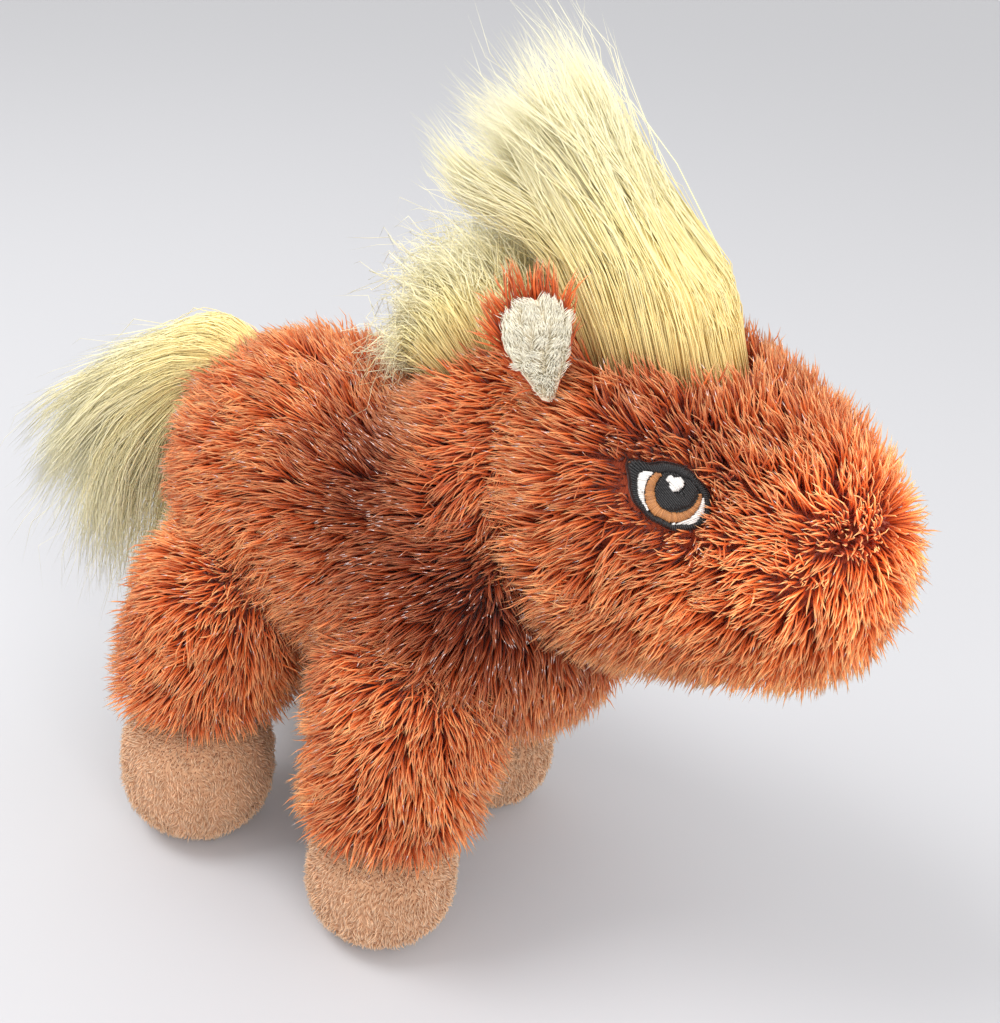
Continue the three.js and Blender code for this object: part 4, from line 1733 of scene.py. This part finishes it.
@dataclass(frozen=True)
class Guide:
    """A curve in the midline from a ball's skin to a tip: its root's angle back, and its bend and its tip.

    Bend and tip are given back and up from the ball's centre.
    """

    root: float
    bend: tuple[float, float]
    tip: tuple[float, float]

    def at(self, t: Array, ball: Ball) -> Array:
        """Places on the curve, from the quadratic of root, bend and tip.

        Args:
            t: Shares of the way up it.
            ball: The ball that the tuft stands on.

        Returns:
            One place to each share.
        """
        root = ball.centre + leaned(self.root, 0.0, Side.LEFT) * ball.radius
        bend, tip = (ball.centre + np.array([-back, 0.0, up]) for back, up in (self.bend, self.tip))
        s = t[..., None]
        return (1 - s) ** 2 * root + 2 * s * (1 - s) * bend + s**2 * tip


@dataclass
class Tuft:
    """A tuft of long loose fibre: a fan from a ball's skin, through a front, a middle and a rear guide.

    A place in the fan is a share back, from the front guide to the rear one, a share of its half
    depth out along Y, and how far up the fibre it is. Tables of depths and reaches run evenly from
    root to tip, and from front to rear.
    """

    name: str
    ball: Ball
    guides: tuple[Guide, Guide, Guide]
    half_depths: tuple[float, ...]
    reach_shares: tuple[float, ...]
    locks: int
    mass: Strands
    loose: Strands
    lean: float = 0.0
    root_depth: float = 6.0
    root_reach: float = 0.22
    patch_share: float = 0.95
    lock_reach_low: float = 0.85
    lock_reach_range: float = 0.2
    core_share: float = 0.94
    core_reach: float = 0.72
    core_taper: float = 0.45
    core_fullness: float = 1.6
    core_shade: float = 0.4

    def fan(self, back: Array, deep: Array, t: Array) -> Array:
        """Places in the fan: the guides mixed by parabolas, each one at its guide and nil at the rest.

        Args:
            back: Shares back, from the front guide to the rear one.
            deep: Shares of the half depth out along Y.
            t: How far up the fibre each place is.

        Returns:
            The places.
        """
        mix = ((2 * back - 1) * (back - 1), 4 * back * (1 - back), back * (2 * back - 1))
        path = sum(part[..., None] * guide.at(t, self.ball) for part, guide in zip(mix, self.guides))
        half = np.interp(t, np.linspace(0.0, 1.0, len(self.half_depths)), self.half_depths)
        return path + SIDEWAYS * (deep * half)[..., None]

    def rooted(self, back: Array, deep: Array, t: Array) -> Array:
        """Places in the fan, with each root drawn on to the ball's skin and eased off it in an S curve.

        Args:
            back: Shares back, from the front guide to the rear one.
            deep: Shares of the half depth out along Y.
            t: How far up the fibre each place is.

        Returns:
            The places.
        """
        path = self.fan(back, deep, t)
        start = self.fan(back, deep, np.zeros_like(t))
        root = self.ball.centre + unit(start - self.ball.centre) * (self.ball.radius - self.root_depth)
        return path + (root - start) * (1.0 - smooth(t, 0.0, self.root_reach))[..., None]

    def covers(self, points: Array) -> Array:
        """True for places inside the roots' patch, seen from the ball's centre and drawn in to a share.

        Args:
            points: Places, one to a row.

        Returns:
            One truth to each.
        """
        offset = points - self.ball.centre
        front, rear = math.radians(self.guides[0].root), math.radians(self.guides[2].root)
        place = (np.arctan2(-offset[:, 0], offset[:, 2]) - front) / (rear - front) * 2.0 - 1.0
        out = offset[:, 1] / np.hypot(offset[:, 0], offset[:, 2])
        out = out * self.ball.radius / self.half_depths[0]
        return (place**2 + out**2 < self.patch_share**2) & (offset[:, 2] > 0)

    def paths(self, kind: Strands, rng: np.random.Generator) -> tuple[Array, Array]:
        """Every fibre's spine, and the shade of its lock.

        A fibre starts at its own place in the fan and is drawn part way in to its lock's. Slow
        sines wave each lock and quicker ones crimp each fibre, both more towards the tip, and past
        the middle it frays out.

        Args:
            kind: The kind of fibre.
            rng: The source of chance.

        Returns:
            Places along the spines, and the locks' shades.
        """
        lock_rng = Chance.LOCKS.source(self.locks)
        angle, out = lock_rng.random(self.locks) * 2 * np.pi, np.sqrt(lock_rng.random(self.locks))
        lock_back, lock_deep = 0.5 + 0.5 * out * np.cos(angle), out * np.sin(angle)
        lock_reach = np.interp(lock_back, np.linspace(0.0, 1.0, len(self.reach_shares)), self.reach_shares)
        lock_reach = lock_reach * (
            self.lock_reach_low + self.lock_reach_range * lock_rng.random(self.locks))
        lock_beat, lock_fray = lock_rng.random((self.locks, 2, 3)), lock_rng.normal(size=(self.locks, 1, 3))
        own_angle, own_out = rng.random(kind.count) * 2 * np.pi, np.sqrt(rng.random(kind.count))
        back, deep = 0.5 + 0.5 * own_out * np.cos(own_angle), own_out * np.sin(own_angle)
        gap = 4 * (back[:, None] - lock_back) ** 2 + (deep[:, None] - lock_deep) ** 2
        lock = np.argmin(gap, axis=1)
        full = rng.random(kind.count) ** kind.long_power
        end = lock_reach[lock] * (kind.low_reach + (kind.high_reach - kind.low_reach) * full)
        t = np.linspace(0.0, 1.0, kind.places) * end[:, None]
        draw = kind.draw * smooth(t, *kind.draw_ends)
        across = kind.slant * t * rng.normal(size=(2, kind.count, 1))
        path = self.rooted(
            back[:, None] + (lock_back[lock] - back)[:, None] * draw + kind.back_slant * across[0],
            deep[:, None] + (lock_deep[lock] - deep)[:, None] * draw + across[1], t)
        slow, start = (0.5 + lock_beat[:, 0])[lock][:, None], lock_beat[:, 1][lock][:, None]
        path = path + kind.wave * t[..., None] * np.sin(2 * np.pi * (t[..., None] * slow + start))
        beat = kind.crimp_beats + kind.crimp_beat_range * rng.random((kind.count, 1, 3))
        crimp = np.sin(2 * np.pi * (t[..., None] * beat + rng.random((kind.count, 1, 3))))
        astray = (rng.random(kind.count) < kind.stray_share)[:, None, None]
        size = kind.crimp * np.where(astray, kind.stray_curl, 1.0)
        path = path + size * smooth(t, *kind.crimp_ends)[..., None] * crimp
        past = (t - kind.fray_from) / (1.0 - kind.fray_from)
        loose = np.clip(past, 0.0, kind.fray_most)[..., None] ** kind.fray_power
        away = kind.own_fray * rng.normal(size=(kind.count, 1, 3)) + kind.lock_fray * lock_fray[lock]
        path = path + kind.fray * loose * away
        off = astray * smooth(t, *kind.stray_ends)[..., None]
        path = path + kind.stray * off * rng.normal(scale=kind.stray_spread, size=(kind.count, 1, 3))
        return self.turned(path), lock_rng.random(self.locks)[lock]

    def turned(self, path: Array) -> Array:
        """Swings the tuft to one side about the upright through its middle guide's root.

        Args:
            path: Places along the fibres.

        Returns:
            The same places, swung.
        """
        pivot = self.ball.centre + leaned(self.guides[1].root, 0.0, Side.LEFT) * self.ball.radius
        c, s = math.cos(math.radians(self.lean)), math.sin(math.radians(self.lean))
        spin = np.array([[c, s, 0.0], [-s, c, 0.0], [0.0, 0.0, 1.0]])
        return (path - pivot) @ spin + pivot

    def core(self, rng: np.random.Generator, rows: int = 18, columns: int = 160) -> Surface:
        """The tuft's close inside: a closed skin round the fan's middle, shaded in random streaks up its
        length, and painted a little darker than the fibres as painted shade for the tuft's depth.

        It is drawn in at both ends by a half sine's root, and tapers towards the tip.

        Args:
            rng: The source of chance.
            rows: Rings along the skin.
            columns: Corners, and streaks, in each ring.

        Returns:
            The skin.
        """
        ways, corners, sizes = globe(rows, columns)
        t = np.arccos(np.clip(ways[:, 2], -1.0, 1.0)) / np.pi
        full = self.core_share * (1.0 - self.core_taper * t)
        full = full * np.minimum(1.0, self.core_fullness * np.sin(np.pi * t) ** 0.5)
        turn = np.arctan2(ways[:, 1], ways[:, 0])
        points = self.rooted(0.5 + 0.5 * full * np.cos(turn), full * np.sin(turn), self.core_reach * t)
        # Painted shade: the inside's lock levels start below the fibres', with random streaks
        streaks = np.concatenate([[0.5], np.tile(rng.random(columns), rows), [0.5]])
        strand = np.stack([t * self.core_reach, streaks, 0.5 + self.core_shade * streaks], axis=-1)
        return Surface(self.turned(points), corners, sizes, strand).outward()

    def build(self, finishes: Finishes, rng: np.random.Generator) -> None:
        """Makes the tuft's close inside, its close fibres and its loose ones, a piece each.

        Args:
            finishes: The horse's finishes.
            rng: The source of chance.
        """
        made = {"core": self.core(rng)}
        for part, kind in (("mass", self.mass), ("loose", self.loose)):
            spines, lock_shade = self.paths(kind, rng)
            taper = np.linspace(1.0, kind.tip_share, kind.places - 1)
            own_radii = kind.radius_low + kind.radius_range * rng.random((kind.count, 1))
            radii = kind.radius * taper * own_radii
            lock_shade = kind.shade_low + kind.shade_range * lock_shade
            shades = np.stack([rng.random(kind.count), lock_shade], axis=-1)
            made[part] = fibres(spines, radii, shades, kind.sides, rng)
        for part, surface in made.items():
            piece = surface.piece(
                f"{self.name}_{part}_fibres", finishes.long_fibre, self.name, "long_fibre")
            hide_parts(self.name)


# Filling and the whole


@dataclass
class Filling:
    """Loose fill inside a cover."""

    name: str
    body: str
    form: Form
    centre: Array
    node: str
    depth: float = 7.6
    rows: int = 30
    columns: int = 40
    lump: float = 2.2
    fill: float = 0.6

    def build(self, finishes: Finishes) -> None:
        """Makes the fill as a lumpy skin inside the cover's.

        Args:
            finishes: The horse's finishes.
        """
        skin = star(self.form.distance, self.centre, self.depth, self.rows, self.columns, self.lump)
        made = skin.piece(f"{self.name}_filling", finishes.filling, self.body, "fibrefill")
        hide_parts(self.node)


@dataclass(frozen=True)
class BodyHair:
    """How the body's hair lies: what it stands round, its ways, where it is shorter, and where a shadow
    under the cheek is painted darker into it.

    Pairs of numbers are the ends of a change, along X from the chest, over heights, or over the
    distance from the head.
    """

    middle_from_chest: tuple[float, float, float] = (-4.0, 0.0, 4.0)
    swept: tuple[float, float, float] = (-1.0, 0.0, -0.55)
    swept_at_chest: tuple[float, float, float] = (-0.35, 0.0, -1.0)
    swept_below: tuple[float, float, float] = (-1.0, 0.0, 0.0)
    chest_ends: tuple[float, float] = (-10.0, 34.0)
    belly_ends: tuple[float, float] = (-92.0, -62.0)
    short_by: float = 0.45
    short_ends: tuple[float, float] = (-6.0, 9.0)
    # A painted shadow low down near the head, under the cheek
    dark_by: float = 0.55
    dark_ends: tuple[float, float] = (-6.0, 14.0)
    dark_under: float = 34.0
    dark_fade: float = 16.0


@dataclass(frozen=True)
class HeadHair:
    """How the head's hair lies: where the nose is, its own way there, and where it is shorter."""

    nose_from_muzzle: tuple[float, float, float] = (30.0, 0.0, 6.0)
    nose_reach: float = 15.0
    everywhere: tuple[float, float, float] = (-0.5, 0.0, -0.35)
    eye_margins: tuple[float, float] = (4.0, 2.0)
    eye_share: float = 0.66
    spot_short_by: float = 0.25


class PlushHorse:
    """The horse, put together in order."""

    def __init__(self, plan: Plan, finishes: Finishes) -> None:
        """Keeps the plan and the finishes.

        Args:
            plan: The forms.
            finishes: The materials.
        """
        self.plan = plan
        self.finishes = finishes
        self.body_pile = Pile(length=12.0, radius=0.29, spacing=1.07)
        self.head_pile = Pile(
            length=11.2, radius=0.29, spacing=1.06, root_lean=26.0, tip_lean=64.0, bend=14.0)
        self.leg_pile = Pile(length=11.6, radius=0.3, spacing=1.1, root_lean=18.0, tip_lean=58.0, bend=11.0)
        self.leg_way = np.array([-0.45, 0.0, -1.0])

    def build_torso(self) -> None:
        """The body's cover and fill, with the hair swept back and down."""
        plan, hair = self.plan, BodyHair()
        form = plan.torso()
        rump, chest = plan.rump.centre, plan.chest.centre
        ways = [np.array(way) for way in (hair.swept, hair.swept_at_chest, hair.swept_below)]

        def flow(points: Array) -> Array:
            """Back and down over the barrel, down at the chest, and straight back under the belly.

            Args:
                points: Places, one to a row.

            Returns:
                One direction to each.
            """
            front = smooth(points[:, 0], *(chest[0] + end for end in hair.chest_ends))[:, None]
            low = smooth(-points[:, 2], *hair.belly_ends)[:, None]
            return (ways[0] * (1.0 - front) + ways[1] * front) * (1.0 - low) + ways[2] * low

        legs = [leg.form().distance for leg in plan.legs]
        head = plan.head().distance
        # The flanks' and shoulders' whorls paint shade into the hair's colour (their dark share)
        flanks = Whorl.pair(rump, (42.0, 27.0, 20.0), reach=22.0, pull=1.2, dark=0.85)
        shoulders = Whorl.pair(chest, (18.0, 31.0, 10.0), reach=22.0, pull=1.1, stand=0.9, dark=0.95)

        def under_cheek(points: Array) -> Array:
            """A share of the length, less near the head."""
            return 1.0 - hair.short_by * (1.0 - smooth(head(points), *hair.short_ends))

        def shaded(points: Array) -> Array:
            """A share of the shade, less low down near the head: a painted shadow under the cheek."""
            low = smooth(chest[2] + hair.dark_under - points[:, 2], 0.0, hair.dark_fade)
            return 1.0 - hair.dark_by * low * (1.0 - smooth(head(points), *hair.dark_ends))

        coat = Coat(
            name="body", body="torso", form=form, centre=chest + np.array(hair.middle_from_chest),
            node="body_cover", pile=self.body_pile, flow=flow, whorls=[*flanks, *shoulders],
            neighbours=[*legs, head], bald=self.under_tufts(self.mane(), self.tail()), trim=under_cheek,
            dim=shaded, rows=60, columns=80)
        coat.build(self.finishes, quarters((rump[0] + chest[0]) / 2.0), Chance.TORSO.source())
        Filling("body", "torso", form, chest, "body_stuffing").build(self.finishes)

    def build_head(self) -> None:
        """The head's cover and fill, with the hair turned away from the nose, and both eyes."""
        plan, hair = self.plan, HeadHair()
        form = plan.head()
        skull, muzzle = plan.skull.centre, plan.muzzle.centre
        middle = (skull + muzzle) / 2.0
        eyes = [Eye(plan.skull, side) for side in Side]
        # The mouth's and the nose's whorls paint light into the hair (dark below zero); the brows' whorls
        # paint shade
        mouth = Whorl.pair(muzzle, (12.0, 27.0, 3.0), reach=22.0, pull=0.7, stand=0.0, dark=-0.5)
        brows = Whorl.pair(skull, (12.0, 29.0, 24.0), reach=23.0, pull=0.3, stand=0.4, dark=0.42)
        nose = muzzle + np.array(hair.nose_from_muzzle)
        tip = Whorl(nose, reach=22.0, pull=0.0, stand=0.0, dark=-0.5)

        def flow(points: Array) -> Array:
            """Down at the nose, away from it further off, and everywhere a little back and down."""
            close = Whorl(nose, hair.nose_reach).near(points)[:, None]
            return unit(points - nose) * (1.0 - close) + np.array(hair.everywhere) - UP * close

        def near_eye(points: Array) -> Array:
            """A share of the length, less round the eye, at the mouth and at the nose.

            Args:
                points: Places, one to a row.

            Returns:
                One share to each.
            """
            close = np.max([spot.near(points) for spot in (*mouth, tip)], axis=0)
            shares = [
                np.where(eyes[0].clearing(points, margin), hair.eye_share, 1.0)
                for margin in hair.eye_margins]
            return np.prod(shares, axis=0) * (1.0 - hair.spot_short_by * close)

        coat = Coat(
            name="head", body="head", form=form, centre=middle, node="head_cover", pile=self.head_pile,
            flow=flow, whorls=[*mouth, *brows, tip], neighbours=[plan.torso().distance],
            bald=lambda points: eyes[0].clearing(points) | self.under_tufts(self.forelock())(points),
            trim=near_eye, rows=50)
        coat.build(self.finishes, either_side(), Chance.HEAD.source())
        Filling("head", "head", form, middle, "head_stuffing").build(self.finishes)
        for index, eye in enumerate(eyes):
            eye.build(self.finishes, Chance.EYES.source(index))

    def build_legs(self) -> None:
        """Each leg's cover, fill and hoof, with the hair turned away from the hip and down."""
        torso = self.plan.torso().distance
        for index, leg in enumerate(self.plan.legs):
            form, body = leg.form(), f"leg_{leg.name}"
            coat = Coat(
                name=body, body=body, form=form, centre=leg.part_way(leg.cover_middle),
                node=f"leg_cover_{leg.name}", pile=self.leg_pile,
                flow=lambda points: np.tile(self.leg_way, (len(points), 1)), neighbours=[torso],
                rows=34, columns=44, buried=1.5)
            whole = [("", lambda points: np.ones(len(points), dtype=bool))]
            coat.build(self.finishes, whole, Chance.LEGS.source(index))
            inside = Form(form.chains, floor=leg.hem + leg.fill_over_hem)
            middle = leg.part_way(leg.fill_middle)
            Filling(body, body, inside, middle, f"leg_stuffing_{leg.name}").build(self.finishes)
            Hoof(leg).build(self.finishes, Chance.HOOVES.source(index))

    def forelock(self) -> Tuft:
        """The forelock: up and back from the brow, in two main lobes.

        Returns:
            The tuft.
        """
        return Tuft(
            name="forelock", ball=self.plan.skull,
            guides=(
                Guide(root=-34.0, bend=(17.0, 66.0), tip=(38.0, 99.5)),
                Guide(root=2.0, bend=(22.0, 70.0), tip=(68.0, 87.0)),
                Guide(root=38.0, bend=(36.0, 56.0), tip=(72.0, 57.0))),
            half_depths=(26.0, 19.0, 15.0, 13.0, 10.0),
            reach_shares=(0.98, 0.95, 0.86, 0.98, 1.0, 0.95), locks=34, root_depth=10.0,
            mass=Strands(
                count=4000, places=7, radius=0.18, low_reach=0.6, high_reach=0.98, fray=2.6, wave=3.4,
                crimp=0.4, draw=0.86, stray=5.0, stray_share=0.05),
            loose=Strands(
                count=1700, places=11, radius=0.13, low_reach=0.2, high_reach=1.0, fray=6.0, wave=3.0,
                crimp=1.3, draw=0.62, stray=4.5, stray_share=0.2))

    def mane(self) -> Tuft:
        """The mane: a low fluffy ridge behind the ears.

        Returns:
            The tuft.
        """
        return Tuft(
            name="mane", ball=self.plan.neck,
            guides=(
                Guide(root=2.0, bend=(6.0, 50.0), tip=(22.0, 57.0)),
                Guide(root=34.0, bend=(30.0, 42.0), tip=(47.0, 37.0)),
                Guide(root=68.0, bend=(42.0, 20.0), tip=(50.0, 5.0))),
            half_depths=(17.0, 16.0, 13.0, 9.0), reach_shares=(1.0, 1.0, 0.96, 1.0), locks=46,
            mass=Strands(
                count=2200, places=7, radius=0.19, low_reach=0.6, high_reach=1.05, fray=4.0, wave=1.6,
                crimp=0.9, draw=0.5, stray=4.0, stray_share=0.1),
            loose=Strands(
                count=1000, places=12, radius=0.13, low_reach=0.6, high_reach=1.2, fray=6.0, wave=2.4,
                crimp=1.8, draw=0.4, stray=6.0, stray_share=0.25))

    def tail(self) -> Tuft:
        """The tail: out and down from the rump in a wide fan.

        Returns:
            The tuft.
        """
        return Tuft(
            name="tail", ball=self.plan.rump,
            guides=(
                Guide(root=30.0, bend=(42.0, 47.0), tip=(93.0, 6.0)),
                Guide(root=39.0, bend=(60.0, 28.0), tip=(102.0, -42.0)),
                Guide(root=52.0, bend=(50.0, 0.0), tip=(56.0, -66.0))),
            half_depths=(9.0, 12.0, 14.0, 13.0, 10.0),
            reach_shares=(0.9, 1.0, 1.0, 1.05, 1.05, 1.22), locks=30, lean=12.0,
            mass=Strands(
                count=3200, places=7, radius=0.19, low_reach=0.55, high_reach=0.97, fray=2.8, wave=3.2,
                crimp=0.5, draw=0.84, stray=4.0, stray_share=0.05),
            loose=Strands(
                count=1100, places=11, radius=0.13, low_reach=0.5, high_reach=1.02, fray=5.0, wave=3.0,
                crimp=1.5, draw=0.6, stray=4.0, stray_share=0.16))

    @staticmethod
    def under_tufts(*tufts: Tuft) -> OfPlaces:
        """The test of places on a skin that tufts stand on."""
        return lambda points: np.any([tuft.covers(points) for tuft in tufts], axis=0)

    def build_tufts(self) -> None:
        """Forelock, mane and tail."""
        for index, tuft in enumerate((self.forelock(), self.mane(), self.tail())):
            tuft.build(self.finishes, Chance.TUFTS.source(index))

    def dress_frame(self) -> None:
        """The woven tapes keep their own solids and take the tape's finish."""
        for name in ("mane_tape", "tail_tape", "forelock_tape"):
            node = frame["nodes"][name]
            node.data.materials.clear()
            node.data.materials.append(self.finishes.tape)

    def build(self) -> None:
        """Every sub-assembly, in order."""
        self.dress_frame()
        self.build_torso()
        self.build_head()
        self.build_legs()
        for side in Side:
            Ear(side).build(self.finishes, Chance.EARS.source(side.value))
        self.build_tufts()


# The studio


def placed(right: Array, up: Array, back: Array, place: Array) -> Matrix:
    """The matrix that turns a thing's own axes to three directions and moves it to a place in metres."""
    columns = np.stack([right, up, back, place], axis=-1).tolist()
    return Matrix([*columns, (0.0, 0.0, 0.0, 1.0)])


@dataclass(frozen=True)
class Camera:
    """The photograph's view: a place, its angles, and its focal length in pixels of a frame 1023 tall."""

    aim_from_head: tuple[float, float, float] = (-57.0, 0.0, -45.0)
    azimuth: float = 32.0
    elevation: float = 29.9
    away: float = 354.7
    roll: float = 5.0
    focal: float = 1307.0
    shift_across: float = 56.5
    shift_up: float = 62.8
    tall: float = 1023.0
    sensor: float = 36.0
    clip: tuple[float, float] = (0.01, 60.0)

    def build(self) -> None:
        """Sets up the scene's camera, with its shift as shares of the frame's longer side."""
        a, e, r = (math.radians(value) for value in (self.azimuth, self.elevation, self.roll))
        back = np.array([math.sin(a) * math.cos(e), -math.cos(a) * math.cos(e), math.sin(e)])
        right = unit(np.cross(-back, UP))
        up = np.cross(right, -back)
        right, up = math.cos(r) * right + math.sin(r) * up, math.cos(r) * up - math.sin(r) * right
        eye = PIVOTS["head_nod"] + np.array(self.aim_from_head) + back * self.away
        lens = bpy.data.cameras.new("photo_view")
        lens.sensor_fit = "VERTICAL"
        lens.sensor_height = self.sensor
        lens.lens = self.focal / self.tall * self.sensor
        lens.shift_x, lens.shift_y = self.shift_across / self.tall, self.shift_up / self.tall
        lens.clip_start, lens.clip_end = self.clip
        holder = bpy.data.objects.new("photo_view", lens)
        bpy.context.scene.collection.objects.link(holder)
        holder.matrix_world = placed(right, up, back, eye * MM)
        bpy.context.scene.camera = holder


@dataclass(frozen=True)
class Studio:
    """A pale floor, a white surround and soft lamps."""

    floor_size: float = 40.0
    floor_roughness: float = 0.8
    world_light: float = 1.02
    light_colour: tuple[float, ...] = (1.0, 1.0, 1.0, 1.0)
    seen_colour: tuple[float, ...] = (0.93, 0.93, 0.94, 1.0)
    lamps_aim: tuple[float, float, float] = (0.0, 0.0, 0.1)

    def lamp(self, name: str, place: tuple[float, float, float], size: float, power: float) -> None:
        """A square lamp aimed at the horse.

        Args:
            name: Its name.
            place: Where it hangs, in metres.
            size: Its edge.
            power: Its watts.
        """
        data = bpy.data.lights.new(name, "AREA")
        data.size, data.energy = size, power
        made = bpy.data.objects.new(name, data)
        bpy.context.scene.collection.objects.link(made)
        back = unit(np.array(place) - np.array(self.lamps_aim))
        right = unit(np.cross(UP, back))
        made.matrix_world = placed(right, np.cross(back, right), back, np.array(place))

    def floor(self) -> None:
        """A square floor, which isn't part of the object."""
        half = self.floor_size / 2.0
        mesh = bpy.data.meshes.new("floor")
        corners = ((-half, -half, 0), (half, -half, 0), (half, half, 0), (-half, half, 0))
        mesh.from_pydata(corners, [], [(0, 1, 2, 3)])
        floor = bpy.data.objects.new("floor", mesh)
        bpy.context.scene.collection.objects.link(floor)
        finish = Dye("pale_floor").dress(Base_Color=tone(196, 196, 199), Roughness=self.floor_roughness)
        mesh.materials.append(finish)

    def surround(self) -> None:
        """An even light all round, which the camera, gloss and glass see as white."""
        world = bpy.data.worlds.new("studio")
        world.use_nodes = True
        nodes = Nodes(world.node_tree)
        nodes.tree.nodes.clear()
        ray = nodes.add("LightPath").outputs
        shown = ray["Is Camera Ray"]
        for kind in ("Is Glossy Ray", "Is Transmission Ray"):
            shown = nodes.math("MAXIMUM", shown, ray[kind])
        light = nodes.add("Background", {"Strength": self.world_light, "Color": self.light_colour})
        white = nodes.add("Background", {"Color": self.seen_colour})
        both = nodes.add("MixShader", {0: shown, 1: light.outputs[0], 2: white.outputs[0]}).outputs[0]
        nodes.add("OutputWorld", {"Surface": both})
        bpy.context.scene.world = world

    def build(self) -> None:
        """Makes the floor, the surround and the lamps."""
        self.floor()
        self.surround()
        bpy.context.scene.view_settings.view_transform = "Standard"
        self.lamp("key", (-0.45, -0.45, 1.15), size=0.5, power=8.0)
        self.lamp("fill", (0.95, -0.7, 0.85), size=0.7, power=8.5)


def main() -> None:
    """Builds the studio and the horse."""
    logging.basicConfig(level=logging.INFO, format="%(name)s %(message)s")
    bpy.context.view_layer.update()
    Camera().build()
    Studio().build()
    PlushHorse(Plan(), Finishes()).build()


if __name__ == "__main__":
    main()
